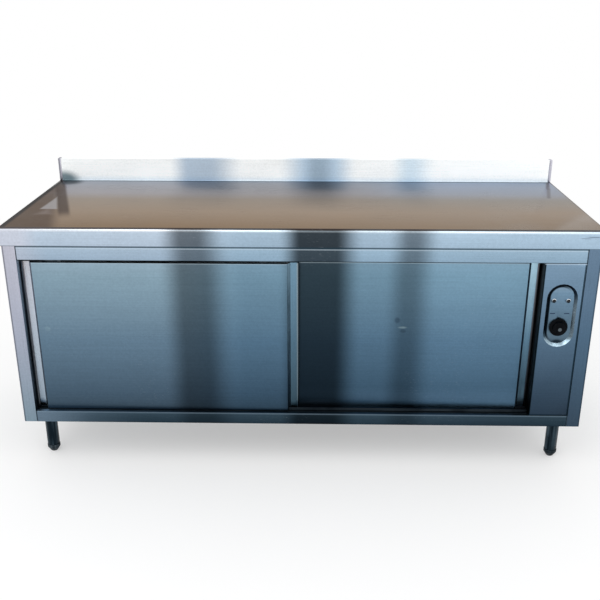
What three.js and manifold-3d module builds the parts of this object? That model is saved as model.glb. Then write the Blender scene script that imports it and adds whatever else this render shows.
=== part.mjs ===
// Heated work cabinet: a stainless bench with an upstand, two sliding doors and a control box.
// Millimetres, +Z up, the front towards -Y, the origin on the floor under the middle of the bench.
import * as THREE from 'three';
import { mergeVertices } from 'three/addons/utils/BufferGeometryUtils.js';
import Module from 'manifold-3d';

const wasm = await Module();
wasm.setup();

// Bench
const benchWidth = 1800;
const benchDepth = 700;
const benchHeight = 800;
const upstandHeight = 80;
const upstandThickness = 25;
const upstandEndWidth = 10;
const fasciaHeight = 56;
const noseRadius = 10;
const coveRadius = 4;
const boardThickness = 18;

// Sheet metal, gaps, the overrun of every cut and the grid of all points
const topSheet = 1.5;
const bodySheet = 1.2;
const doorSheet = 1;
const fitGap = 0.3;
const seamGap = 0.8;
const cutOverrun = 5;
const grid = 0.001;

// Frame
const frontRecess = 8;
const bodyBottom = 150;
const postSize = 40;
const postWall = 1.5;
const topRailHeight = 81;
const headerDepth = 62;
const headerRearHeight = 38;
const railReturn = 12;
const bottomRailHeight = 38;
const bottomRailRearLip = 15;
const backRailHeight = 60;
const backRailDepth = 30;
const channelWall = 2;

// Panels and shelves
const sidePanelDepth = 24;
const backPanelReturn = 15;
const floorLip = 20;
const shelfHeight = 443;
const shelfLip = 25;
const shelfSetBack = 100;
const shelfRearGap = 8;
const shelfSideGap = 2;
const bracketLeg = 30;
const bracketUpright = 28;
const bracketInset = 12;

// Doors
const doorOverlap = 117;
const doorThickness = 20;
const doorTopGap = 13;
const doorPitch = 23;
const doorSetBack = 15;
const doorEndGap = 1.2;
const beadDiameter = 7;
const gripWidth = 20;
const gripSlope = 10;
const doorTopLip = 13;
const doorBottomLip = 7;
const coreBottom = 12;

// Door track, hangers and rollers
const trackWall = 2;
const trackInner = 21;
const trackHeight = 36;
const trackLip = 13.5;
const rollerRadius = 10;
const rollerWidth = 10;
const rollerChamfer = 1;
const rollerFrontGap = 3;
const axleRadius = 2.5;
const axleHeadRadius = 4;
const axleHeadLength = 1.5;
const hangerInset = 100;
const hangerWidth = 50;
const hangerThickness = 3;
const hangerDrop = 48;
const hangerHead = 8;
const trackStopLength = 15;
const trackStopGap = 0.5;

// Bottom guide
const guideBase = 1.2;
const guideMargin = 10;
const ribHeight = 8;
const ribThickness = 2;
const guideGap = 1.5;

// Control box
const controlWidth = 125;
const controlSeam = 1.5;
const controlReturn = 15;
const partitionFlange = 15;
const pocketWidth = 93;
const pocketHeight = 204;
const pocketDepth = 10;
const pocketSlope = 8;
const pocketDrop = 168;
const knobDrop = 40;
const lampRise = 46;
const lampPitch = 43.5;

// Thermostat and knob
const thermostatWidth = 50;
const thermostatHeight = 40;
const thermostatDepth = 38;
const thermostatTabWidth = 6.3;
const thermostatTabThickness = 0.8;
const thermostatTabLength = 8;
const thermostatTabPitch = 16;
const shaftRadius = 3;
const shaftInBody = 12;
const shaftInKnob = 10;
const knobRadius = 28;
const knobSkirt = 4;
const knobSkirtSlope = 2;
const knobGripRadius = 19;
const knobGripLength = 12;
const knobBarWidth = 9;
const knobBarLength = 44;
const knobBarHeight = 14;
const knobGap = 1.5;

// Pilot lamps
const lampBezelRadius = 7;
const lampBezelHeight = 2.5;
const lampLensRadius = 5;
const lampLensHeight = 3;
const lampBodyRadius = 5;
const lampBodyLength = 22;

// Terminal block, wiring, sensor and cable gland
const blockThickness = 18;
const blockLength = 84;
const blockHeight = 28;
const blockScrewRadius = 3;
const blockScrewPitch = 12;
const blockScrewDepth = 5;
const blockSetBack = 320;
const blockLift = 120;
const loomRadius = 4;
const loomClearance = 14;
const sensorRadius = 1.5;
const sensorBulbLength = 90;
const sensorBackGap = 18;
const sensorTopGap = 180;
const sensorCornerRun = 20;
const glandRadius = 11;
const glandThreadRadius = 8;
const glandBore = 4;
const glandNutHeight = 6;
const glandDomeHeight = 16;
const glandTopHeight = 9;
const glandRearGap = 106;
const glandInset = 28;

// Heating element and its guard
const elementRadius = 4;
const elementPitch = 60;
const elementLength = 1300;
const elementHeight = 34;
const elementTail = 25;
const guardWidth = 110;
const guardHeight = 70;
const guardFoot = 12;
const guardRearGap = 14;
const guardEndGap = 6;
const guardOverhang = 20;
const elementStayInset = 154;
const guardSlotLength = 40;
const guardSlotWidth = 10;
const guardSlotPitch = 56;
const guardRowPitch = 40;
const elementStays = 2;

// Legs and feet
const legInset = 58;
const legSetBack = 82;
const legRadius = 20;
const legWall = 1.5;
const legFlangeRadius = 40;
const legFlangeThickness = 4;
const legInsertHeight = 20;
const footHeight = 26;
const footCollarRadius = 21;
const footCollarHeight = 10;
const footTipRadius = 10;
const footTipRound = 2;
const studRadius = 5;
const studLength = 34;

// Counts
const nosePoints = 6;
const beadPoints = 3;
const roundSides = 32;
const rollerSides = 20;
const smallSides = 16;
const pocketPoints = 12;
const tubeSides = 8;
const elementSteps = 48;
const loomSteps = 20;
const sensorSteps = 30;
const sensorSides = 6;
const blockPoles = 6;

// Places worked out from the sizes above
const benchSide = benchWidth / 2;
const benchFront = -benchDepth / 2;
const benchBack = benchDepth / 2;
const upstandFront = benchBack - upstandThickness;
const bodySide = benchSide - topSheet - fitGap;
const bodyFront = benchFront + frontRecess;
const bodyBack = benchBack - topSheet - fitGap;
const boardTop = benchHeight - topSheet - fitGap;
const frameTop = boardTop - boardThickness - fitGap;
const postInner = bodySide - postSize;
const railEnd = postInner - seamGap;
const topRailBottom = frameTop - topRailHeight;
const headerBack = bodyFront + headerDepth;
const headerUnder = frameTop - headerRearHeight;
const railTop = bodyBottom + bottomRailHeight;
const sidePanelFront = bodyFront + postSize + fitGap;
const sidePanelBack = bodyBack - postSize - fitGap;
const floorFront = headerBack + fitGap;
const floorBack = sidePanelBack - bodySheet - fitGap;
const controlRight = postInner - controlSeam;
const controlLeft = postInner - controlWidth;
const controlMiddle = (controlLeft + postInner) / 2;
const controlFace = bodyFront + fitGap;
const partitionLeft = controlLeft + bodySheet + fitGap;
const partitionFront = controlFace + bodySheet + fitGap;
const partitionBack = bodyBack - bodySheet - fitGap;
const pocketMiddle = topRailBottom - pocketDrop;
const knobHeight = pocketMiddle - knobDrop;
const lampHeight = pocketMiddle + lampRise;
const pocketFloor = controlFace + pocketDepth;
const pocketBackFace = pocketFloor + bodySheet;
const frontDoorMiddle = bodyFront + doorSetBack + doorThickness / 2;
const rearDoorMiddle = frontDoorMiddle + doorPitch;
const guideTop = railTop + fitGap + guideBase;
const doorBottom = guideTop + guideGap;
const leftDoorStart = -postInner + doorEndGap;
const doorWidth = (controlLeft - doorEndGap - leftDoorStart + doorOverlap) / 2;
const doorHeight = topRailBottom - doorTopGap - doorBottom;
const rightDoorStart = controlLeft - doorEndGap - doorWidth;
const doorTravel = rightDoorStart - leftDoorStart;
const trackTop = headerUnder - fitGap;
const trackBottom = trackTop - trackHeight;
const trackLeft = -postInner + fitGap;
const trackRight = partitionLeft - fitGap;
const axleHeight = trackBottom + trackWall + fitGap + rollerRadius;
const legTop = bodyBottom - fitGap;
const sensorHeight = frameTop - sensorTopGap;
const glandPlace = [partitionLeft + glandInset, floorBack - glandRearGap, 0];
const guardBack = floorBack - guardRearGap;
const guardFront = guardBack - guardWidth;

// Finishes
const brushedSteel = new THREE.MeshStandardMaterial({ color: 0x9fadb8, roughness: 0.34, metalness: 1 });
const worktopSteel = new THREE.MeshStandardMaterial({ color: 0xaba59d, roughness: 0.3, metalness: 1 });
const doorSteel = new THREE.MeshStandardMaterial({ color: 0x8b9dab, roughness: 0.36, metalness: 1 });
const innerSteel = new THREE.MeshStandardMaterial({ color: 0x8c9297, roughness: 0.45, metalness: 1 });
const trackAluminium = new THREE.MeshStandardMaterial({ color: 0xb4b8ba, roughness: 0.4, metalness: 1 });
const legSteel = new THREE.MeshStandardMaterial({ color: 0x6d7880, roughness: 0.28, metalness: 1 });
const boardWood = new THREE.MeshStandardMaterial({ color: 0xb08d62, roughness: 0.8, metalness: 0 });
const coreFoam = new THREE.MeshStandardMaterial({ color: 0xd9d2bd, roughness: 0.9, metalness: 0 });
const blackPlastic = new THREE.MeshStandardMaterial({ color: 0x14161a, roughness: 0.35, metalness: 0 });
const lampPlastic = new THREE.MeshStandardMaterial({ color: 0x2a2f33, roughness: 0.2, metalness: 0 });
const whiteNylon = new THREE.MeshStandardMaterial({ color: 0xe4e3dc, roughness: 0.5, metalness: 0 });
const rubber = new THREE.MeshStandardMaterial({ color: 0x1c1c1d, roughness: 0.8, metalness: 0 });
const ceramic = new THREE.MeshStandardMaterial({ color: 0xdcd8cc, roughness: 0.6, metalness: 0 });
const copper = new THREE.MeshStandardMaterial({ color: 0xb4704a, roughness: 0.3, metalness: 1 });
const wireInsulation = new THREE.MeshStandardMaterial({ color: 0x8a3126, roughness: 0.6, metalness: 0 });

const axisX = new THREE.Vector3(1, 0, 0);
const axisY = new THREE.Vector3(0, 1, 0);
const axisZ = new THREE.Vector3(0, 0, 1);
const turnToX = new THREE.Matrix4().makeBasis(axisY, axisZ, axisX);
const turnToY = new THREE.Matrix4().makeBasis(axisZ, axisX, axisY);

// A box between its low corner and its high corner.
function block(low, high) {
  const size = high.map((value, axis) => value - low[axis]);
  const middle = high.map((value, axis) => (value + low[axis]) / 2);
  return new THREE.BoxGeometry(...size).translate(...middle);
}

// A box on one side of the bench: the inner and outer X are given as for the right side.
function sideBlock(side, inner, outer, low, high) {
  const left = Math.min(side * inner, side * outer);
  const right = Math.max(side * inner, side * outer);
  return block([left, ...low], [right, ...high]);
}

// An outline pushed along local Z between two stations.
function prismZ(outline, from, to) {
  const shape = new THREE.Shape(outline.map(([a, b]) => new THREE.Vector2(a, b)));
  const settings = { depth: to - from, bevelEnabled: false, curveSegments: 1 };
  return new THREE.ExtrudeGeometry(shape, settings).translate(0, 0, from);
}

// An outline of [y, z] points pushed along X.
function prismX(outline, from, to) {
  return prismZ(outline, from, to).applyMatrix4(turnToX);
}

// An outline of [x, z] points pushed along Y.
function prismY(outline, from, to) {
  const turned = outline.map(([x, z]) => [z, x]);
  return prismZ(turned, from, to).applyMatrix4(turnToY);
}

// Points on an arc, both ends included.
function arc(centre, radius, start, end, count) {
  const points = [];
  for (let i = 0; i <= count; i += 1) {
    const angle = start + (end - start) * i / count;
    points.push([centre[0] + radius * Math.cos(angle), centre[1] + radius * Math.sin(angle)]);
  }
  return points;
}

// The closed outline of a folded sheet: the path is one face, the other lies to the right of it.
function foldedSheet(path, thickness) {
  const face = path.map(([a, b]) => new THREE.Vector2(a, b));
  const runs = face.slice(1).map((point, i) => point.clone().sub(face[i]).normalize());
  const other = face.map((point, i) => {
    const before = runs[Math.max(i - 1, 0)];
    const after = runs[Math.min(i, runs.length - 1)];
    const mitre = new THREE.Vector2(before.y + after.y, -before.x - after.x).normalize();
    const reach = thickness / (mitre.x * after.y - mitre.y * after.x);
    return point.clone().addScaledVector(mitre, reach);
  });
  return [...face, ...other.reverse()].map((point) => [point.x, point.y]);
}

// A turned piece: [radius, z] points run up the outside and, in a ring, down the inside.
function turned(profile, sides) {
  const points = profile.map(([radius, z]) => new THREE.Vector2(radius, z));
  return new THREE.LatheGeometry(points, sides).rotateX(Math.PI / 2);
}

// A rod from one station to another along Y.
function rodY(radius, from, to, sides) {
  const rod = new THREE.CylinderGeometry(radius, radius, to - from, sides);
  return rod.translate(0, (from + to) / 2, 0);
}

// A rod from one station to another along X.
function rodX(radius, from, to, sides) {
  const rod = new THREE.CylinderGeometry(radius, radius, to - from, sides).rotateZ(-Math.PI / 2);
  return rod.translate((from + to) / 2, 0, 0);
}

// A rod from one station to another along Z.
function rodZ(radius, from, to, sides) {
  const rod = new THREE.CylinderGeometry(radius, radius, to - from, sides).rotateX(Math.PI / 2);
  return rod.translate(0, 0, (from + to) / 2);
}

// A tube of round section along a curve.
function tube(curve, radius, sides, steps) {
  const section = arc([0, 0], radius, 0, Math.PI * 2, sides).slice(0, sides);
  const shape = new THREE.Shape(section.map(([a, b]) => new THREE.Vector2(a, b)));
  return new THREE.ExtrudeGeometry(shape, { steps, extrudePath: curve, curveSegments: 1 });
}

// A closed body from a geometry, its points on the grid so that flush faces meet exactly.
function solid(geometry) {
  const bare = geometry.clone();
  bare.deleteAttribute('normal');
  bare.deleteAttribute('uv');
  const places = bare.attributes.position.array;
  places.forEach((value, i) => {
    places[i] = Math.round(value / grid) * grid;
  });
  const merged = mergeVertices(bare);
  return new wasm.Manifold(new wasm.Mesh({
    numProp: 3,
    vertProperties: merged.attributes.position.array,
    triVerts: new Uint32Array(merged.index.array),
  }));
}

function geometryOf(body) {
  const mesh = body.getMesh();
  const geometry = new THREE.BufferGeometry();
  geometry.setAttribute('position', new THREE.BufferAttribute(mesh.vertProperties, 3));
  geometry.setIndex(new THREE.BufferAttribute(mesh.triVerts, 1));
  geometry.computeVertexNormals();
  return geometry;
}

function joined(...parts) {
  return geometryOf(parts.map(solid).reduce((whole, part) => whole.add(part)));
}

function cutFrom(base, ...tools) {
  return geometryOf(tools.map(solid).reduce((rest, tool) => rest.subtract(tool), solid(base)));
}

function overlapOf(first, second) {
  return geometryOf(solid(first).intersect(solid(second)));
}

// A named piece, placed in its group.
function piece(group, name, geometry, material, place = [0, 0, 0]) {
  const mesh = new THREE.Mesh(geometry, material);
  mesh.name = name;
  mesh.position.set(...place);
  group.add(mesh);
  return mesh;
}

const sides = [['left', -1], ['right', 1]];

// Worktop: one folded sheet with welded cheeks. Its hem turns in under the fascia, its front is
// a round nose, and it runs up the upstand and down the back.
function worktopSheet() {
  const fasciaBottom = benchHeight - fasciaHeight;
  const upstandTop = benchHeight + upstandHeight;
  const noseCentre = [benchFront + noseRadius, benchHeight - noseRadius];
  const coveCentre = [upstandFront - coveRadius, benchHeight + coveRadius];
  const outer = [
    [benchFront, fasciaBottom],
    ...arc(noseCentre, noseRadius, Math.PI, Math.PI / 2, nosePoints),
    ...arc(coveCentre, coveRadius, -Math.PI / 2, 0, beadPoints),
    [upstandFront, upstandTop],
    [benchBack, upstandTop],
    [benchBack, fasciaBottom],
  ];
  const hemEnd = bodyFront - fitGap;
  const inner = [
    [hemEnd, fasciaBottom - cutOverrun],
    [hemEnd, fasciaBottom + topSheet],
    [benchFront + topSheet, fasciaBottom + topSheet],
    ...arc(noseCentre, noseRadius - topSheet, Math.PI, Math.PI / 2, nosePoints),
    ...arc(coveCentre, coveRadius + topSheet, -Math.PI / 2, 0, beadPoints),
    [upstandFront + topSheet, upstandTop - topSheet],
    [benchBack - topSheet, upstandTop - topSheet],
    [benchBack - topSheet, fasciaBottom - cutOverrun],
  ];
  const ends = sides.map(([, side]) => sideBlock(
    side,
    benchSide - upstandEndWidth - fitGap,
    benchSide + cutOverrun,
    [upstandFront - coveRadius, benchHeight],
    [benchBack + cutOverrun, upstandTop + cutOverrun],
  ));
  return cutFrom(
    prismX(outer, -benchSide, benchSide),
    prismX(inner, -benchSide + topSheet, benchSide - topSheet),
    ...ends,
  );
}

// End cap of the upstand: a shallow folded tray that closes its end.
function upstandEnd(side) {
  const inner = benchSide - upstandEndWidth;
  const low = [upstandFront, benchHeight + fitGap];
  const high = [benchBack, benchHeight + upstandHeight];
  const hollow = sideBlock(
    side,
    inner - cutOverrun,
    benchSide - topSheet,
    [low[0] + topSheet, low[1] - cutOverrun],
    [high[0] - topSheet, high[1] - topSheet],
  );
  return cutFrom(sideBlock(side, inner, benchSide, low, high), hollow);
}

function addWorktop(group) {
  piece(group, 'worktop', worktopSheet(), worktopSteel);
  const boardSide = benchSide - topSheet - fitGap;
  const board = block(
    [-boardSide, benchFront + noseRadius, frameTop + fitGap],
    [boardSide, bodyBack, boardTop],
  );
  piece(group, 'worktop_board', board, boardWood);
  for (const [name, side] of sides) {
    piece(group, `upstand_end_${name}`, upstandEnd(side), brushedSteel);
  }
}

// Corner post: a square tube, open at both ends.
function post(side, front) {
  const tubeHigh = frameTop;
  const outer = sideBlock(side, postInner, bodySide, [front, bodyBottom], [front + postSize, tubeHigh]);
  const bore = sideBlock(
    side,
    postInner + postWall,
    bodySide - postWall,
    [front + postWall, bodyBottom - cutOverrun],
    [front + postSize - postWall, tubeHigh + cutOverrun],
  );
  return cutFrom(outer, bore);
}

// Front top rail: the visible face and, behind it, the header that carries the door track.
function topFrontRail() {
  const path = [
    [bodyFront + railReturn, topRailBottom],
    [bodyFront, topRailBottom],
    [bodyFront, frameTop],
    [headerBack, frameTop],
    [headerBack, headerUnder],
    [bodyFront + railReturn, headerUnder],
  ];
  return prismX(foldedSheet(path, topSheet), -railEnd, railEnd);
}

function bottomFrontRail() {
  const path = [
    [bodyFront + railReturn, bodyBottom],
    [bodyFront, bodyBottom],
    [bodyFront, railTop],
    [headerBack, railTop],
    [headerBack, railTop - bottomRailRearLip],
  ];
  return prismX(foldedSheet(path, topSheet), -railEnd, railEnd);
}

function topBackRail() {
  const path = [
    [bodyBack - backRailDepth, frameTop],
    [bodyBack, frameTop],
    [bodyBack, frameTop - backRailHeight],
    [bodyBack - backRailDepth, frameTop - backRailHeight],
  ];
  return prismX(foldedSheet(path, topSheet), -railEnd, railEnd);
}

function bottomBackRail() {
  const path = [
    [floorBack + fitGap, railTop],
    [bodyBack, railTop],
    [bodyBack, bodyBottom],
    [bodyBack - backRailDepth, bodyBottom],
  ];
  return prismX(foldedSheet(path, topSheet), -railEnd, railEnd);
}

// Base channel: the open channel under the floor that the legs bolt to.
function baseChannel(side) {
  const middle = side * (bodySide - legInset);
  const half = legInset - (bodySheet + fitGap) * 2;
  const top = railTop - bodySheet - fitGap;
  const path = [
    [middle + half, top],
    [middle + half, bodyBottom],
    [middle - half, bodyBottom],
    [middle - half, top],
  ];
  const front = floorFront + bodySheet + fitGap;
  const back = floorBack - bodySheet - fitGap;
  return prismY(foldedSheet(path, channelWall), front, back);
}

function addFrame(group) {
  for (const [name, side] of sides) {
    piece(group, `front_post_${name}`, post(side, bodyFront), brushedSteel);
    piece(group, `back_post_${name}`, post(side, bodyBack - postSize), brushedSteel);
    piece(group, `base_channel_${name}`, baseChannel(side), innerSteel);
  }
  piece(group, 'top_front_rail', topFrontRail(), brushedSteel);
  piece(group, 'bottom_front_rail', bottomFrontRail(), brushedSteel);
  piece(group, 'top_back_rail', topBackRail(), brushedSteel);
  piece(group, 'bottom_back_rail', bottomBackRail(), brushedSteel);
}

// Side panel: a pan between the posts, its front, back and top edges turned in.
function sidePanel(side) {
  const low = [sidePanelFront, bodyBottom];
  const high = [sidePanelBack, frameTop];
  const hollow = sideBlock(
    side,
    bodySide - sidePanelDepth - cutOverrun,
    bodySide - bodySheet,
    [low[0] + bodySheet, low[1] - cutOverrun],
    high.map((value) => value - bodySheet),
  );
  return cutFrom(sideBlock(side, bodySide - sidePanelDepth, bodySide, low, high), hollow);
}

function backPanel() {
  const low = [-railEnd, bodyBack - backPanelReturn, railTop + fitGap];
  const high = [railEnd, bodyBack, frameTop - backRailHeight - fitGap];
  const hollow = block(
    [low[0] + bodySheet, low[1] - cutOverrun, low[2] + bodySheet],
    [high[0] - bodySheet, high[1] - bodySheet, high[2] - bodySheet],
  );
  return cutFrom(block(low, high), hollow);
}

// A tray turned upside down: a flat top with its four edges turned down.
function tray(low, high, sheet) {
  const hollow = block(
    [low[0] + sheet, low[1] + sheet, low[2] - cutOverrun],
    [high[0] - sheet, high[1] - sheet, high[2] - sheet],
  );
  return cutFrom(block(low, high), hollow);
}

function cabinetFloor() {
  const floorSide = bodySide - bodySheet - fitGap;
  const low = [-floorSide, floorFront, railTop - floorLip];
  const high = [floorSide, floorBack, railTop];
  const pan = tray(low, high, bodySheet);
  const hole = rodZ(glandThreadRadius + fitGap, railTop - floorLip, railTop + cutOverrun, smallSides);
  return cutFrom(pan, hole.translate(...glandPlace));
}

// Partition between the heated space and the control box, notched round the rails.
function partition() {
  const low = railTop + fitGap;
  const high = frameTop - fitGap;
  const returnFront = bodyBack - backPanelReturn - fitGap;
  const lowBack = low + bodySheet + fitGap;
  const highBack = frameTop - backRailHeight - (bodySheet + fitGap) * 2;
  const outline = [
    [partitionFront, low],
    [returnFront, low],
    [returnFront, lowBack],
    [partitionBack, lowBack],
    [partitionBack, highBack],
    [bodyBack - backRailDepth - fitGap, highBack],
    [bodyBack - backRailDepth - fitGap, high],
    [headerBack + fitGap, high],
    [headerBack + fitGap, topRailBottom - fitGap],
    [partitionFront, topRailBottom - fitGap],
  ];
  const plate = prismX(outline, partitionLeft, partitionLeft + bodySheet);
  const foot = block(
    [partitionLeft, partitionFront + controlReturn, low],
    [partitionLeft + partitionFlange, returnFront, low + bodySheet],
  );
  const rear = block(
    [partitionLeft, partitionBack - bodySheet, lowBack],
    [partitionLeft + partitionFlange, partitionBack, highBack],
  );
  const through = [partitionLeft - cutOverrun, partitionLeft + bodySheet + cutOverrun];
  const holes = elementRuns().map(([y, z]) => {
    const hole = rodX(elementRadius + fitGap, ...through, smallSides);
    return hole.translate(0, y, z);
  });
  const sensorHole = rodX(sensorRadius + fitGap, ...through, tubeSides);
  holes.push(sensorHole.translate(0, partitionBack - sensorBackGap, sensorHeight));
  return cutFrom(joined(plate, foot, rear), ...holes);
}

function shelfBracket(side) {
  const top = shelfHeight - shelfLip - fitGap;
  const front = benchFront + shelfSetBack + bracketInset;
  const back = floorBack - shelfRearGap - bracketInset;
  if (side < 0) {
    const wall = -bodySide + bodySheet + fitGap;
    const reach = wall + sidePanelDepth + bracketLeg;
    const path = [[wall, top - bracketUpright], [wall, top], [reach, top]];
    return prismY(foldedSheet(path, bodySheet), front, back);
  }
  const wall = partitionLeft - fitGap;
  const path = [[wall - bracketLeg, top], [wall, top], [wall, top - bracketUpright]];
  return prismY(foldedSheet(path, bodySheet), front, back);
}

function midShelf() {
  const left = -bodySide + sidePanelDepth + shelfSideGap;
  const right = partitionLeft - shelfSideGap;
  const front = benchFront + shelfSetBack;
  const back = floorBack - shelfRearGap;
  return tray([left, front, shelfHeight - shelfLip], [right, back, shelfHeight], bodySheet);
}

function addPanels(group) {
  for (const [name, side] of sides) {
    piece(group, `side_panel_${name}`, sidePanel(side), brushedSteel);
    piece(group, `shelf_bracket_${name}`, shelfBracket(side), innerSteel);
  }
  piece(group, 'back_panel', backPanel(), brushedSteel);
  piece(group, 'cabinet_floor', cabinetFloor(), innerSteel);
  piece(group, 'partition', partition(), innerSteel);
  piece(group, 'mid_shelf', midShelf(), innerSteel);
}

// Door skin: beads at both ends, sunk grip strips, sloping walls and the raised panel,
// with a notch in each sloping wall for the guide rib.
function doorSkin() {
  const half = doorThickness / 2;
  const beadRadius = beadDiameter / 2;
  const stripBack = half - doorSheet - fitGap;
  const panelBack = -half + doorSheet;
  const beadCentre = stripBack - beadRadius;
  const slopeStart = beadDiameter + gripWidth;
  const slopeEnd = slopeStart + gripSlope;
  const bead = arc([beadRadius, beadCentre], beadRadius, Math.PI * 1.5, Math.PI / 2, 2 * beadPoints);
  const leftPath = [
    [beadDiameter, beadCentre - beadRadius],
    ...bead,
    [slopeStart, stripBack],
    [slopeEnd, panelBack],
  ];
  const rightPath = leftPath.map(([x, y]) => [doorWidth - x, y]).reverse();
  const skin = prismZ(foldedSheet([...leftPath, ...rightPath], doorSheet), 0, doorHeight);
  const lipStart = slopeEnd + doorSheet;
  const lipFront = -half + doorSheet / 2;
  const topLip = block(
    [lipStart, lipFront, doorHeight - doorSheet],
    [doorWidth - lipStart, -half + doorTopLip, doorHeight],
  );
  const bottomLip = block(
    [lipStart, lipFront, 0],
    [doorWidth - lipStart, -half + doorBottomLip, doorSheet],
  );
  const notchTop = ribHeight + guideGap;
  const notch = block(
    [slopeStart, -half + doorBottomLip, -cutOverrun],
    [doorWidth - slopeStart, half - doorBottomLip, notchTop],
  );
  return cutFrom(joined(skin, topLip, bottomLip), notch);
}

// Back sheet of a door, with a lip along its lower edge beside the guide rib.
function doorBackSheet() {
  const back = doorThickness / 2;
  const lipStart = beadDiameter + gripWidth + gripSlope + fitGap;
  const sheet = block(
    [beadDiameter / 2, back - doorSheet, doorSheet],
    [doorWidth - beadDiameter / 2, back, doorHeight - doorSheet],
  );
  const lip = block(
    [lipStart, back - doorBottomLip, doorSheet],
    [doorWidth - lipStart, back, doorSheet * 2],
  );
  return joined(sheet, lip);
}

function doorCore() {
  const start = beadDiameter + gripWidth + gripSlope + fitGap;
  const half = doorThickness / 2 - doorSheet - fitGap;
  return block([start, -half, coreBottom], [doorWidth - start, half, doorHeight - hangerDrop - fitGap]);
}

// Hanger: a plate on the door's back sheet with the axle that its roller turns on.
function hanger() {
  const plateBack = doorThickness / 2 - doorSheet - fitGap;
  const plateFront = plateBack - hangerThickness;
  const axle = axleHeight - doorBottom;
  const plate = block(
    [-hangerWidth / 2, plateFront, doorHeight - hangerDrop],
    [hangerWidth / 2, plateBack, axle + hangerHead],
  );
  const pinFront = rollerFront() - fitGap;
  const pin = rodY(axleRadius, pinFront, plateFront + hangerThickness / 2, smallSides);
  const head = rodY(axleHeadRadius, pinFront - axleHeadLength, pinFront, smallSides);
  return joined(plate, pin.translate(0, 0, axle), head.translate(0, 0, axle));
}

function rollerFront() {
  return -trackInner / 2 + rollerFrontGap;
}

function roller() {
  const half = rollerWidth / 2;
  const bore = axleRadius + fitGap;
  const profile = [
    [bore, -half],
    [rollerRadius - rollerChamfer, -half],
    [rollerRadius, -half + rollerChamfer],
    [rollerRadius, half - rollerChamfer],
    [rollerRadius - rollerChamfer, half],
    [bore, half],
    [bore, -half],
  ];
  return turned(profile, rollerSides).rotateX(Math.PI / 2);
}

function addDoor(group, name, start, middle) {
  const door = new THREE.Group();
  door.position.set(start, middle, doorBottom);
  piece(door, `${name}_door_front`, doorSkin(), doorSteel);
  piece(door, `${name}_door_back`, doorBackSheet(), innerSteel);
  piece(door, `${name}_door_core`, doorCore(), coreFoam);
  const places = [['left', hangerInset], ['right', doorWidth - hangerInset]];
  for (const [end, x] of places) {
    piece(door, `${name}_door_hanger_${end}`, hanger(), innerSteel, [x, 0, 0]);
    const rollerPlace = [x, rollerFront() + rollerWidth / 2, axleHeight - doorBottom];
    piece(door, `${name}_door_roller_${end}`, roller(), whiteNylon, rollerPlace);
  }
  group.add(door);
}

// Twin track: two channels side by side, each with a lip that the rollers run on.
function topTrack() {
  const pitch = trackInner + trackWall;
  const front = frontDoorMiddle - trackInner / 2 - trackWall;
  const back = front + pitch * 2 + trackWall;
  const lip = trackBottom + trackWall;
  const roof = trackTop - trackWall;
  const outline = [[front, trackTop], [back, trackTop], [back, trackBottom]];
  for (const inner of [front + pitch + trackWall, front + trackWall]) {
    outline.push(
      [inner + trackInner, trackBottom],
      [inner + trackInner, roof],
      [inner, roof],
      [inner, lip],
      [inner + trackLip, lip],
      [inner + trackLip, trackBottom],
    );
  }
  outline.push([front, trackBottom]);
  return prismX(outline, trackLeft, trackRight);
}

// Stop block in one channel of the track, just past the hanger of the open door.
function trackStop(middle, from, to) {
  const half = trackInner / 2 - fitGap;
  return block(
    [from, middle - half, trackBottom + trackWall + fitGap],
    [to, middle + half, trackTop - trackWall - fitGap],
  );
}

// Bottom guide: a strip on the rail with one rib for each door.
function bottomGuide() {
  const low = railTop + fitGap;
  const ribTop = guideTop + ribHeight;
  const outline = [
    [rearDoorMiddle + guideMargin, low],
    [rearDoorMiddle + guideMargin, guideTop],
  ];
  for (const middle of [rearDoorMiddle, frontDoorMiddle]) {
    outline.push(
      [middle + ribThickness / 2, guideTop],
      [middle + ribThickness / 2, ribTop],
      [middle - ribThickness / 2, ribTop],
      [middle - ribThickness / 2, guideTop],
    );
  }
  outline.push([frontDoorMiddle - guideMargin, guideTop], [frontDoorMiddle - guideMargin, low]);
  return prismX(outline, -postInner + fitGap, controlLeft - fitGap);
}

function addDoorGear(group) {
  piece(group, 'top_track', topTrack(), trackAluminium);
  piece(group, 'bottom_guide', bottomGuide(), trackAluminium);
  const openHanger = leftDoorStart + doorWidth - hangerInset + hangerWidth / 2 + doorTravel;
  const frontStart = openHanger + trackStopGap;
  const frontStop = trackStop(frontDoorMiddle, frontStart, frontStart + trackStopLength);
  piece(group, 'track_stop_front', frontStop, rubber);
  const rearEnd = rightDoorStart + hangerInset - hangerWidth / 2 - doorTravel - trackStopGap;
  const rearStop = trackStop(rearDoorMiddle, rearEnd - trackStopLength, rearEnd);
  piece(group, 'track_stop_rear', rearStop, rubber);
}

// A round-ended block with sloping walls: wide at its front face, narrower at its back face.
function slopedStadium(width, height, slope, depth) {
  const radius = width / 2 - slope;
  const straight = height / 2 - width / 2;
  const outline = [
    ...arc([0, straight], radius, 0, Math.PI, pocketPoints),
    ...arc([0, -straight], radius, Math.PI, Math.PI * 2, pocketPoints),
  ];
  const shape = new THREE.Shape(outline.map(([a, b]) => new THREE.Vector2(a, b)));
  const settings = { depth: fitGap, bevelSegments: 1, bevelSize: slope, bevelThickness: depth };
  const whole = new THREE.ExtrudeGeometry(shape, { ...settings, curveSegments: 1 });
  const half = block([-width, -height, -depth], [width, height, 0]);
  return overlapOf(whole, half).rotateX(Math.PI / 2).rotateZ(0);
}

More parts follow.
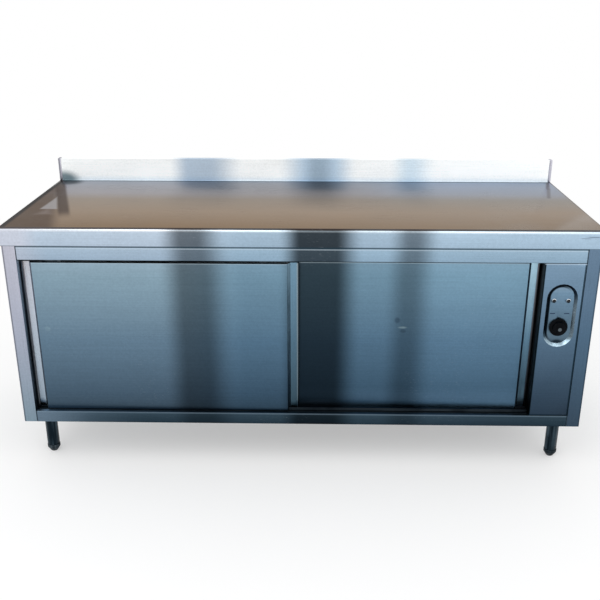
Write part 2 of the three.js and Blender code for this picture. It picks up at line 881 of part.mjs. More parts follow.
// Control panel: a flat front with turned edges and a pressed pocket for the knob and lamps.
function controlPanel() {
  const low = railTop + controlSeam;
  const high = topRailBottom - controlSeam;
  const outer = block([controlLeft, controlFace, low], [controlRight, controlFace + controlReturn, high]);
  const hollow = block(
    [controlLeft + bodySheet, controlFace + bodySheet, low - cutOverrun],
    [controlRight - bodySheet, controlFace + controlReturn + cutOverrun, high + cutOverrun],
  );
  const shell = cutFrom(outer, hollow);
  const place = [controlMiddle, controlFace, pocketMiddle];
  const sheetOut = bodySheet * 2;
  const cup = slopedStadium(
    pocketWidth + sheetOut,
    pocketHeight + sheetOut,
    pocketSlope,
    pocketDepth + bodySheet,
  ).translate(...place);
  const sunk = slopedStadium(pocketWidth, pocketHeight, pocketSlope, pocketDepth).translate(...place);
  const from = pocketFloor - cutOverrun;
  const to = pocketBackFace + cutOverrun;
  const holes = [rodY(shaftRadius + fitGap, from, to, smallSides).translate(controlMiddle, 0, knobHeight)];
  for (const [, side] of sides) {
    const hole = rodY(lampBodyRadius + fitGap, from, to, smallSides);
    holes.push(hole.translate(controlMiddle + side * lampPitch / 2, 0, lampHeight));
  }
  return cutFrom(joined(shell, cup), sunk, ...holes);
}

function thermostatBody() {
  const front = pocketBackFace + fitGap;
  const back = front + thermostatDepth;
  const housing = block(
    [-thermostatWidth / 2, front, -thermostatHeight / 2],
    [thermostatWidth / 2, back, thermostatHeight / 2],
  );
  const tabs = sides.map(([, side]) => {
    const x = side * thermostatTabPitch / 2;
    return block(
      [x - thermostatTabWidth / 2, back - thermostatTabLength, -thermostatTabThickness / 2],
      [x + thermostatTabWidth / 2, back + thermostatTabLength, thermostatTabThickness / 2],
    );
  });
  const bore = rodY(shaftRadius + fitGap, front - cutOverrun, front + shaftInBody + fitGap, smallSides);
  return cutFrom(joined(housing, ...tabs), bore);
}

function knobFace() {
  return pocketFloor - knobGap;
}

function thermostatShaft() {
  const back = pocketBackFace + fitGap + shaftInBody;
  return rodY(shaftRadius, knobFace() - shaftInKnob, back, smallSides);
}

// Knob: a sloping skirt, a round hub and a bar to grip, bored for the shaft.
function thermostatKnob() {
  const hubTop = knobSkirt + knobGripLength;
  const profile = [
    [0, 0],
    [knobRadius, 0],
    [knobRadius, knobSkirt - knobSkirtSlope],
    [knobRadius - knobSkirtSlope, knobSkirt],
    [knobGripRadius, knobSkirt],
    [knobGripRadius - knobSkirtSlope, hubTop - knobSkirtSlope],
    [knobGripRadius - knobSkirtSlope * 2, hubTop],
    [0, hubTop],
  ];
  const hub = turned(profile, roundSides).rotateX(Math.PI / 2).translate(0, knobFace(), 0);
  const barBack = knobFace() - knobSkirt / 2;
  const bar = block(
    [-knobBarWidth / 2, barBack - knobBarHeight, -knobBarLength / 2],
    [knobBarWidth / 2, barBack, knobBarLength / 2],
  );
  const bore = rodY(
    shaftRadius + fitGap,
    knobFace() - shaftInKnob - fitGap,
    knobFace() + cutOverrun,
    smallSides,
  );
  return cutFrom(joined(hub, bar), bore);
}

// Pilot lamp: a lens in a round bezel, with its body behind the pocket's floor.
function pilotLamp() {
  const behind = bodySheet + lampBodyLength;
  const profile = [
    [0, -behind],
    [lampBodyRadius, -behind],
    [lampBodyRadius, fitGap],
    [lampBezelRadius, fitGap],
    [lampBezelRadius, lampBezelHeight],
    [lampLensRadius, lampBezelHeight],
    [lampLensRadius / 2, lampBezelHeight + lampLensHeight],
    [0, lampBezelHeight + lampLensHeight],
  ];
  return turned(profile, smallSides).rotateX(Math.PI / 2);
}

// Terminal block on the partition, with a row of screw wells.
function terminalBlock() {
  const left = partitionLeft + bodySheet + fitGap;
  const middle = benchFront + blockSetBack;
  const low = railTop + blockLift;
  const body = block(
    [left, middle - blockLength / 2, low],
    [left + blockThickness, middle + blockLength / 2, low + blockHeight],
  );
  const face = left + blockThickness;
  const wells = [];
  for (let i = 0; i < blockPoles; i += 1) {
    const y = middle + (i - (blockPoles - 1) / 2) * blockScrewPitch;
    const well = rodX(blockScrewRadius, face - blockScrewDepth, face + cutOverrun, tubeSides);
    wells.push(well.translate(0, y, low + blockHeight / 2));
  }
  return cutFrom(body, ...wells);
}

// Wiring loom from the terminal block up to the thermostat's tabs.
function wiringLoom() {
  const blockTop = railTop + blockLift + blockHeight;
  const blockY = benchFront + blockSetBack;
  const startX = partitionLeft + bodySheet + fitGap + blockThickness / 2;
  const tabEnd = pocketBackFace + fitGap + thermostatDepth + thermostatTabLength;
  const points = [
    new THREE.Vector3(startX, blockY, blockTop + fitGap),
    new THREE.Vector3(startX, blockY, blockTop + loomClearance * 2),
    new THREE.Vector3(controlMiddle, (blockY + tabEnd) / 2, (blockTop + knobHeight) / 2),
    new THREE.Vector3(controlMiddle, tabEnd + loomClearance * 2, knobHeight),
    new THREE.Vector3(controlMiddle, tabEnd + fitGap, knobHeight),
  ];
  return tube(new THREE.CatmullRomCurve3(points), loomRadius, tubeSides, loomSteps);
}

// Thermostat sensor: a fine tube from the thermostat, through the partition, to its bulb.
function thermostatSensor() {
  const start = pocketBackFace + fitGap + thermostatDepth + fitGap;
  const farY = partitionBack - sensorBackGap;
  const startZ = knobHeight + thermostatHeight / 2 - sensorRadius * 2;
  const points = [
    new THREE.Vector3(controlMiddle, start, startZ),
    new THREE.Vector3(controlMiddle, start + sensorCornerRun, startZ),
    new THREE.Vector3(controlMiddle, farY - sensorCornerRun * 2, sensorHeight),
    new THREE.Vector3(controlMiddle - sensorCornerRun, farY, sensorHeight),
    new THREE.Vector3(partitionLeft + sensorCornerRun, farY, sensorHeight),
    new THREE.Vector3(partitionLeft - sensorCornerRun, farY, sensorHeight),
    new THREE.Vector3(partitionLeft - sensorBulbLength, farY, sensorHeight),
  ];
  const curve = new THREE.CatmullRomCurve3(points, false, 'centripetal');
  return tube(curve, sensorRadius, sensorSides, sensorSteps);
}

// Cable gland in the floor of the control box, pointing down.
function cableGland() {
  const under = railTop - bodySheet - fitGap;
  const above = railTop + fitGap;
  const profile = [
    [glandBore, under - glandDomeHeight],
    [glandThreadRadius, under - glandDomeHeight],
    [glandRadius, under - glandNutHeight],
    [glandRadius, under],
    [glandThreadRadius, under],
    [glandThreadRadius, above],
    [glandRadius, above],
    [glandRadius, above + glandNutHeight],
    [glandThreadRadius, above + glandNutHeight],
    [glandThreadRadius, above + glandTopHeight],
    [glandBore, above + glandTopHeight],
    [glandBore, under - glandDomeHeight],
  ];
  return turned(profile, smallSides);
}

function addControls(group) {
  piece(group, 'control_panel', controlPanel(), brushedSteel);
  const knobPlace = [controlMiddle, 0, knobHeight];
  piece(group, 'thermostat_body', thermostatBody(), ceramic, knobPlace);
  piece(group, 'thermostat_shaft', thermostatShaft(), innerSteel, knobPlace);
  piece(group, 'thermostat_knob', thermostatKnob(), blackPlastic, knobPlace);
  for (const [name, side] of sides) {
    const place = [controlMiddle + side * lampPitch / 2, pocketFloor, lampHeight];
    piece(group, `pilot_lamp_${name}`, pilotLamp(), lampPlastic, place);
  }
  piece(group, 'terminal_block', terminalBlock(), ceramic);
  piece(group, 'wiring_loom', wiringLoom(), wireInsulation);
  piece(group, 'thermostat_sensor', thermostatSensor(), copper);
  piece(group, 'cable_gland', cableGland(), blackPlastic, glandPlace);
}

// The [y, z] places of the heating element's two runs.
function elementRuns() {
  const middle = (guardFront + guardBack) / 2;
  const z = railTop + elementHeight;
  return [[middle - elementPitch / 2, z], [middle + elementPitch / 2, z]];
}

// Heating element: one long U of tube, its ends through the partition.
function heatingElement() {
  const [[frontY, z], [backY]] = elementRuns();
  const end = partitionLeft + bodySheet + elementTail;
  const turn = end - elementLength;
  const middle = (frontY + backY) / 2;
  const reach = elementPitch / 2;
  const path = new THREE.CurvePath();
  const bend = arc([turn, middle], reach, -Math.PI / 2, -Math.PI * 1.5, tubeSides);
  const route = [[end, frontY], ...bend, [end, backY]];
  for (let i = 1; i < route.length; i += 1) {
    const from = new THREE.Vector3(route[i - 1][0], route[i - 1][1], z);
    const to = new THREE.Vector3(route[i][0], route[i][1], z);
    path.add(new THREE.LineCurve3(from, to));
  }
  return tube(path, elementRadius, tubeSides, elementSteps);
}

// Guard over the element: a folded hat with slots along its top and stays that hold the element.
function heaterGuard() {
  const foot = railTop + fitGap + bodySheet;
  const top = railTop + guardHeight;
  const path = [
    [guardFront - guardFoot, foot],
    [guardFront, foot],
    [guardFront, top],
    [guardBack, top],
    [guardBack, foot],
    [guardBack + guardFoot, foot],
  ];
  const right = partitionLeft - guardEndGap;
  const left = partitionLeft - elementLength - guardOverhang;
  const hat = prismX(foldedSheet(path, bodySheet), left, right);
  const stays = [];
  const holes = [];
  for (let i = 0; i < elementStays; i += 1) {
    const span = right - left - elementStayInset * 2;
    const x = left + elementStayInset + span * i / (elementStays - 1);
    stays.push(block(
      [x, guardFront + bodySheet / 2, foot],
      [x + bodySheet, guardBack - bodySheet / 2, top - bodySheet / 2],
    ));
    for (const [y, z] of elementRuns()) {
      const hole = rodX(elementRadius + fitGap, x - cutOverrun, x + cutOverrun, smallSides);
      holes.push(hole.translate(0, y, z));
    }
  }
  const columns = Math.floor((right - left) / guardSlotPitch);
  const slots = [];
  for (let column = 0; column < columns; column += 1) {
    const x = (left + right) / 2 + (column - (columns - 1) / 2) * guardSlotPitch;
    for (const [, row] of sides) {
      const y = (guardFront + guardBack) / 2 + row * guardRowPitch / 2;
      slots.push(block(
        [x - guardSlotLength / 2, y - guardSlotWidth / 2, top - bodySheet - cutOverrun],
        [x + guardSlotLength / 2, y + guardSlotWidth / 2, top + cutOverrun],
      ));
    }
  }
  return cutFrom(joined(hat, ...stays), ...holes, ...slots);
}

function addHeater(group) {
  piece(group, 'heating_element', heatingElement(), innerSteel);
  piece(group, 'heater_guard', heaterGuard(), innerSteel);
}

// Leg: a round tube with a bolting flange on top and a threaded insert at its lower end.
function leg() {
  const profile = [
    [studRadius + fitGap, footHeight],
    [legRadius, footHeight],
    [legRadius, legTop - legFlangeThickness],
    [legFlangeRadius, legTop - legFlangeThickness],
    [legFlangeRadius, legTop],
    [legRadius - legWall, legTop],
    [legRadius - legWall, footHeight + legInsertHeight],
    [studRadius + fitGap, footHeight + legInsertHeight],
    [studRadius + fitGap, footHeight],
  ];
  return turned(profile, roundSides);
}

// Foot: a collar and blunt cone on a threaded stud that screws up into the leg.
function foot() {
  const shoulder = footHeight - fitGap;
  const profile = [
    [0, 0],
    [footTipRadius, 0],
    [footTipRadius + footTipRound, footTipRound],
    [footCollarRadius, shoulder - footCollarHeight],
    [footCollarRadius, shoulder],
    [studRadius, shoulder],
    [studRadius, footHeight + studLength],
    [0, footHeight + studLength],
  ];
  return turned(profile, roundSides);
}

function addLegs(group) {
  const legY = bodyFront + legSetBack;
  const rows = [['front', legY], ['back', -legY]];
  for (const [row, y] of rows) {
    for (const [name, side] of sides) {
      const place = [side * (bodySide - legInset), y, 0];
      piece(group, `leg_${row}_${name}`, leg(), legSteel, place);
      piece(group, `foot_${row}_${name}`, foot(), legSteel, place);
    }
  }
}

const cabinet = new THREE.Group();
addWorktop(cabinet);
addFrame(cabinet);
addPanels(cabinet);
addDoorGear(cabinet);
addDoor(cabinet, 'left', leftDoorStart, frontDoorMiddle);
addDoor(cabinet, 'right', rightDoorStart, rearDoorMiddle);
addControls(cabinet);
addHeater(cabinet);
addLegs(cabinet);

export default cabinet;
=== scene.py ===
"""Heated work cabinet: its finishes, its small turned and pressed parts, the studio and the camera."""

from __future__ import annotations

import logging
import math
from collections.abc import Callable, Iterator
from contextlib import contextmanager
from dataclasses import dataclass, field
from enum import Enum

import bmesh
import bpy
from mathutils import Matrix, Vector


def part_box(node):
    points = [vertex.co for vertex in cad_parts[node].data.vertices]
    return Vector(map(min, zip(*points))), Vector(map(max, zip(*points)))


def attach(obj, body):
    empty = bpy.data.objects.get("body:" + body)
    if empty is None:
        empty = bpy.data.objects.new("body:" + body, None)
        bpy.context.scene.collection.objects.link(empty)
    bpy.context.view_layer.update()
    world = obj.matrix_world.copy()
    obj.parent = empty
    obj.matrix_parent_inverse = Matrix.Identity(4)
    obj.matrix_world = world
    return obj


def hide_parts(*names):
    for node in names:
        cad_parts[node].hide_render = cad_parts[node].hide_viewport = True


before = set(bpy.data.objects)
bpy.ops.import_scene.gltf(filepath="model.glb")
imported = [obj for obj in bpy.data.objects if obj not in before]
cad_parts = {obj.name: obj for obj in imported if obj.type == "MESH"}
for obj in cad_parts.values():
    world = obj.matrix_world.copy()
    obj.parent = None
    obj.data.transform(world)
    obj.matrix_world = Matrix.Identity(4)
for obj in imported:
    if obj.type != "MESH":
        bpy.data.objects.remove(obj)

log = logging.getLogger("work_cabinet")

Colour = tuple[float, float, float]
Place = tuple[float, float, float]


class Axis(Enum):
    """The direction that a grain, a turned part or a fastener follows."""

    X = 0
    Y = 1
    Z = 2


class Side(Enum):
    """The two ends of the bench, with their sign along X."""

    LEFT = -1
    RIGHT = 1

    @property
    def word(self) -> str:
        """The side's name as it stands in the frame's node names."""
        return self.name.lower()


class Row(Enum):
    """The front and the back row of legs."""

    FRONT = "front"
    BACK = "back"


def paint(red: int, green: int, blue: int) -> Colour:
    """Turns a screen colour into the linear colour that a shader takes.

    Args:
        red: Red from 0 to 255.
        green: Green from 0 to 255.
        blue: Blue from 0 to 255.

    Returns:
        The linear colour.
    """
    shares = [part / 255 for part in (red, green, blue)]
    linear = [s / 12.92 if s <= 0.04045 else ((s + 0.055) / 1.055) ** 2.4 for s in shares]
    return linear[0], linear[1], linear[2]


class Desk:
    """Builds the node tree of one material."""

    def __init__(self, name: str) -> None:
        """Starts a material with a principled shader and object coordinates.

        Args:
            name: The material's name.
        """
        self.material = bpy.data.materials.new(name)
        self.material.use_nodes = True
        self.tree = self.material.node_tree
        self.tree.nodes.clear()
        self.shader = self.tree.nodes.new("ShaderNodeBsdfPrincipled")
        self.output = self.tree.nodes.new("ShaderNodeOutputMaterial")
        self.tree.links.new(self.shader.outputs["BSDF"], self.output.inputs["Surface"])
        self.place = self.tree.nodes.new("ShaderNodeTexCoord").outputs["Object"]

    def feed(self, socket: bpy.types.NodeSocket, value: object) -> None:
        """Links a socket into an input, or sets the input's own value.

        Args:
            socket: The input.
            value: An output socket, a number or a tuple.
        """
        if isinstance(value, bpy.types.NodeSocket):
            self.tree.links.new(value, socket)
        elif socket.type == "RGBA" and isinstance(value, tuple) and len(value) == 3:
            socket.default_value = (*value, 1.0)
        else:
            socket.default_value = value

    def set(self, name: str, value: object) -> None:
        """Sets or links an input of the principled shader.

        Args:
            name: The input's name.
            value: An output socket, a number or a colour.
        """
        self.feed(self.shader.inputs[name], value)

    def along(self, axis: Axis) -> bpy.types.NodeSocket:
        """Returns the place along one axis, in metres."""
        node = self.tree.nodes.new("ShaderNodeSeparateXYZ")
        self.feed(node.inputs[0], self.place)
        return node.outputs[axis.value]

    def math(self, operation: str, first: object, second: object = 0.0) -> bpy.types.NodeSocket:
        """Adds a sum of two values.

        Args:
            operation: The Math node's operation.
            first: The first value or socket.
            second: The second value or socket.

        Returns:
            The result's socket.
        """
        node = self.tree.nodes.new("ShaderNodeMath")
        node.operation = operation
        self.feed(node.inputs[0], first)
        self.feed(node.inputs[1], second)
        return node.outputs[0]

    def ramp(self, value: object, start: float, end: float, low: float = 0.0, high: float = 1.0,
             smooth: bool = True) -> bpy.types.NodeSocket:
        """Maps a value from one range to another and stops at its ends.

        Args:
            value: The value to map.
            start: Where the ramp begins.
            end: Where the ramp ends.
            low: The result at the start.
            high: The result at the end.
            smooth: Eases in and out.

        Returns:
            The result's socket.
        """
        node = self.tree.nodes.new("ShaderNodeMapRange")
        node.interpolation_type = "SMOOTHSTEP" if smooth else "LINEAR"
        self.feed(node.inputs["Value"], value)
        node.inputs["From Min"].default_value = start
        node.inputs["From Max"].default_value = end
        node.inputs["To Min"].default_value = low
        node.inputs["To Max"].default_value = high
        return node.outputs["Result"]

    def mix(self, share: object, first: object, second: object,
            blend: str = "MIX") -> bpy.types.NodeSocket:
        """Mixes two colours.

        Args:
            share: How much of the second colour shows.
            first: The first colour.
            second: The second colour.
            blend: The Mix node's blend type.

        Returns:
            The mixed colour's socket.
        """
        node = self.tree.nodes.new("ShaderNodeMix")
        node.data_type = "RGBA"
        node.blend_type = blend
        self.feed(node.inputs[0], share)
        self.feed(node.inputs[6], first)
        self.feed(node.inputs[7], second)
        return node.outputs[2]

    def noise(self, scale: Place, detail: float = 2.0, turn: float = 0.0,
              offset: Place = (0.0, 0.0, 0.0)) -> bpy.types.NodeSocket:
        """Adds a noise stretched along the axes.

        Args:
            scale: Waves for each metre along X, Y and Z.
            detail: How many finer layers it has.
            turn: A turn of the whole pattern about Y and Z, in degrees.
            offset: A shift of the pattern, in metres.

        Returns:
            The noise from 0 to 1.
        """
        mapping = self.tree.nodes.new("ShaderNodeMapping")
        mapping.vector_type = "TEXTURE"
        self.feed(mapping.inputs["Vector"], self.place)
        mapping.inputs["Scale"].default_value = tuple(1.0 / part for part in scale)
        mapping.inputs["Location"].default_value = offset
        mapping.inputs["Rotation"].default_value = (0.0, math.radians(turn), math.radians(turn))
        node = self.tree.nodes.new("ShaderNodeTexNoise")
        self.feed(node.inputs["Vector"], mapping.outputs["Vector"])
        node.inputs["Scale"].default_value = 1.0
        node.inputs["Detail"].default_value = detail
        return node.outputs["Fac"]

    def bump(self, height: object, distance: float, strength: float = 1.0,
             under: bpy.types.NodeSocket | None = None) -> bpy.types.NodeSocket:
        """Turns a height into a normal.

        Args:
            height: The height from 0 to 1.
            distance: What a height of 1 stands for, in metres.
            strength: How much of it shows.
            under: The normal of a coarser bump below it.

        Returns:
            The normal's socket.
        """
        node = self.tree.nodes.new("ShaderNodeBump")
        node.inputs["Distance"].default_value = distance
        node.inputs["Strength"].default_value = strength
        self.feed(node.inputs["Height"], height)
        if under is not None:
            self.feed(node.inputs["Normal"], under)
        return node.outputs["Normal"]

    def grey(self, value: bpy.types.NodeSocket) -> bpy.types.NodeSocket:
        """Turns a value into a grey of the same strength."""
        node = self.tree.nodes.new("ShaderNodeCombineColor")
        for socket in node.inputs[:3]:
            self.feed(socket, value)
        return node.outputs[0]

    def vector(self, operation: str, first: object, second: object = (0.0, 0.0, 0.0)) -> bpy.types.NodeSocket:
        """Adds a sum of two vectors.

        Args:
            operation: The Vector Math node's operation.
            first: The first vector or socket.
            second: The second vector or socket.

        Returns:
            The result's socket, a single value for a length or a dot product.
        """
        node = self.tree.nodes.new("ShaderNodeVectorMath")
        node.operation = operation
        self.feed(node.inputs[0], first)
        self.feed(node.inputs[1], second)
        single = operation in ("LENGTH", "DOT_PRODUCT")
        return node.outputs["Value" if single else "Vector"]

    def distance(self, centre: Place, reach: Place) -> bpy.types.NodeSocket:
        """Measures how far a point is from a centre, in units of a reach along each axis.

        Args:
            centre: The centre.
            reach: The reach along X, Y and Z.

        Returns:
            The distance's socket, 1 at the reach.
        """
        shift = self.vector("SUBTRACT", self.place, centre)
        return self.vector("LENGTH", self.vector("DIVIDE", shift, reach))

    def tangent(self, axis: Axis) -> bpy.types.NodeSocket:
        """Returns the tangent that runs round one axis."""
        node = self.tree.nodes.new("ShaderNodeTangent")
        node.direction_type = "RADIAL"
        node.axis = axis.name
        return node.outputs["Tangent"]


@dataclass(frozen=True)
class Tone:
    """One stop in the slow change of painted shade and painted reflection over a sheet.

    Attributes:
        place: Where the stop is along the axis of the change, in metres.
        colour: The colour there.
    """

    place: float
    colour: Colour


@dataclass(frozen=True)
class Streak:
    """A soft band of painted reflection that runs across the grain of brushed sheet.

    Attributes:
        left: Where it starts along X.
        right: Where it ends along X.
        soft_left: How far its left edge fades to each side.
        soft_right: How far its right edge fades to each side.
        depth: How much of its colour shows.
        colour: The streak's colour, or the share of the sheet's colour that it lets through.
        blend: How the colour is laid over the sheet.
    """

    left: float
    right: float
    soft_left: float
    soft_right: float
    depth: float
    colour: Colour = (0.05, 0.05, 0.05)
    blend: str = "MULTIPLY"

    def weight(self, desk: Desk, along: bpy.types.NodeSocket) -> bpy.types.NodeSocket:
        """Builds the streak's weight over the sheet.

        Args:
            desk: The material's node builder.
            along: The place along X.

        Returns:
            The weight's socket, from 0 to the streak's depth.
        """
        rise = desk.ramp(along, self.left - self.soft_left, self.left + self.soft_left)
        fall = desk.ramp(along, self.right - self.soft_right, self.right + self.soft_right, 1.0, 0.0)
        return desk.math("MULTIPLY", desk.math("MULTIPLY", rise, fall), self.depth)


@dataclass(frozen=True)
class Line:
    """A thin line along a fold or a joint: a painted highlight on a fold, painted shade in a gap or under a
    hem, or a dark joint.

    Attributes:
        axis: The axis that the line is measured along.
        low: Where it starts on that axis.
        high: Where it ends.
        depth: How much of its colour shows.
        colour: The line's colour.
        soft: How far its edges fade.
    """

    axis: Axis
    low: float
    high: float
    depth: float
    colour: Colour
    soft: float = 0.0008

    def weight(self, desk: Desk) -> bpy.types.NodeSocket:
        """Builds the line's weight.

        Args:
            desk: The material's node builder.

        Returns:
            The weight's socket, from 0 to the line's depth.
        """
        here = desk.along(self.axis)
        rise = desk.ramp(here, self.low - self.soft, self.low)
        fall = desk.ramp(here, self.high, self.high + self.soft, 1.0, 0.0)
        return desk.math("MULTIPLY", desk.math("MULTIPLY", rise, fall), self.depth)


@dataclass(frozen=True)
class Patch:
    """A soft spot on a sheet: painted shade, a painted highlight or reflection, or the painted shading of a
    small dent.

    Attributes:
        centre: The middle of the spot.
        reach: Its half sizes along X, Y and Z.
        depth: How much of its colour shows.
        colour: The spot's colour.
    """

    centre: Place
    reach: Place
    depth: float
    colour: Colour

    def weight(self, desk: Desk) -> bpy.types.NodeSocket:
        """Builds the spot's weight.

        Args:
            desk: The material's node builder.

        Returns:
            The weight's socket, from 0 to the spot's depth.
        """
        away = desk.distance(self.centre, self.reach)
        return desk.math("MULTIPLY", desk.ramp(away, 0.35, 1.0, 1.0, 0.0), self.depth)


@dataclass(frozen=True)
class Crease:
    """A soft straight painted reflection between two points of a sheet.

    Attributes:
        start: Where it starts.
        end: Where it ends.
        width: How far from its middle line it stands in full.
        soft: How far its sides fade beyond that.
        fade: How far its ends fade.
        depth: How much of its colour shows.
        colour: The mark's colour.
    """

    start: Place
    end: Place
    width: float
    soft: float
    fade: float
    depth: float
    colour: Colour

    def weight(self, desk: Desk) -> bpy.types.NodeSocket:
        """Builds the mark's weight.

        Args:
            desk: The material's node builder.

        Returns:
            The weight's socket, from 0 to the mark's depth.
        """
        way = Vector(self.end) - Vector(self.start)
        course = tuple(way.normalized())
        offset = desk.vector("SUBTRACT", desk.place, self.start)
        aside = desk.vector("LENGTH", desk.vector("SUBTRACT", offset, desk.vector("PROJECT", offset, course)))
        along = desk.vector("DOT_PRODUCT", offset, course)
        body = desk.ramp(aside, self.width, self.width + self.soft, 1.0, 0.0)
        rise = desk.ramp(along, -self.fade, 0.0)
        fall = desk.ramp(along, way.length, way.length + self.fade, 1.0, 0.0)
        ends = desk.math("MULTIPLY", rise, fall)
        return desk.math("MULTIPLY", desk.math("MULTIPLY", body, ends), self.depth)


@dataclass(frozen=True)
class Glint:
    """A soft many-sided spot of painted reflection on the level worktop, light as a glint or dark.

    Attributes:
        corners: Its corners in X and Y, in anticlockwise order from above.
        soft: How far inside each side it takes to stand in full.
        depth: How much of its colour shows.
        colour: The spot's colour.
    """

    corners: tuple[tuple[float, float], ...]
    soft: float
    depth: float
    colour: Colour

    def weight(self, desk: Desk) -> bpy.types.NodeSocket:
        """Builds the spot's weight.

        Args:
            desk: The material's node builder.

        Returns:
            The weight's socket, from 0 to the spot's depth.
        """
        inside: object = 1.0
        for (x, y), (next_x, next_y) in zip(self.corners, (*self.corners[1:], self.corners[0])):
            inward = Vector((y - next_y, next_x - x, 0.0)).normalized()
            offset = desk.vector("SUBTRACT", desk.place, (x, y, 0.0))
            inside = desk.math("MINIMUM", inside, desk.vector("DOT_PRODUCT", offset, tuple(inward)))
        return desk.math("MULTIPLY", desk.ramp(inside, 0.0, self.soft), self.depth)


@dataclass(frozen=True)
class PocketRing:
    """A soft shade on the floor of the oval pocket, along its wall.

    Attributes:
        middle: The X of the pocket's middle.
        low: The Z of the middle of its lower round end.
        high: The Z of the middle of its upper round end.
        inner: How far from the pocket's spine the shade starts.
        soft: How far it takes to stand in full.
        lean: The direction, in X and Z, in which it is deepest.
        reach: Where along that direction it starts and where it stands in full.
        depth: How much of its colour shows.
        colour: The shade's colour.
    """

    middle: float
    low: float
    high: float
    inner: float
    soft: float
    lean: tuple[float, float]
    reach: tuple[float, float]
    depth: float
    colour: Colour

    def weight(self, desk: Desk) -> bpy.types.NodeSocket:
        """Builds the shade's weight.

        Args:
            desk: The material's node builder.

        Returns:
            The weight's socket, from 0 to the shade's depth.
        """
        across = desk.math("SUBTRACT", desk.along(Axis.X), self.middle)
        height = desk.along(Axis.Z)
        spine = desk.math("MINIMUM", desk.math("MAXIMUM", height, self.low), self.high)
        rise = desk.math("SUBTRACT", height, spine)
        square = desk.math("ADD", desk.math("POWER", across, 2.0), desk.math("POWER", rise, 2.0))
        away = desk.math("SQRT", square)
        body = desk.ramp(away, self.inner, self.inner + self.soft)
        toward = desk.math("ADD", desk.math("MULTIPLY", across, self.lean[0]),
                           desk.math("MULTIPLY", rise, self.lean[1]))
        side = desk.ramp(toward, self.reach[0], self.reach[1])
        return desk.math("MULTIPLY", desk.math("MULTIPLY", body, side), self.depth)


Mark = Line | Patch | Crease | Glint | PocketRing


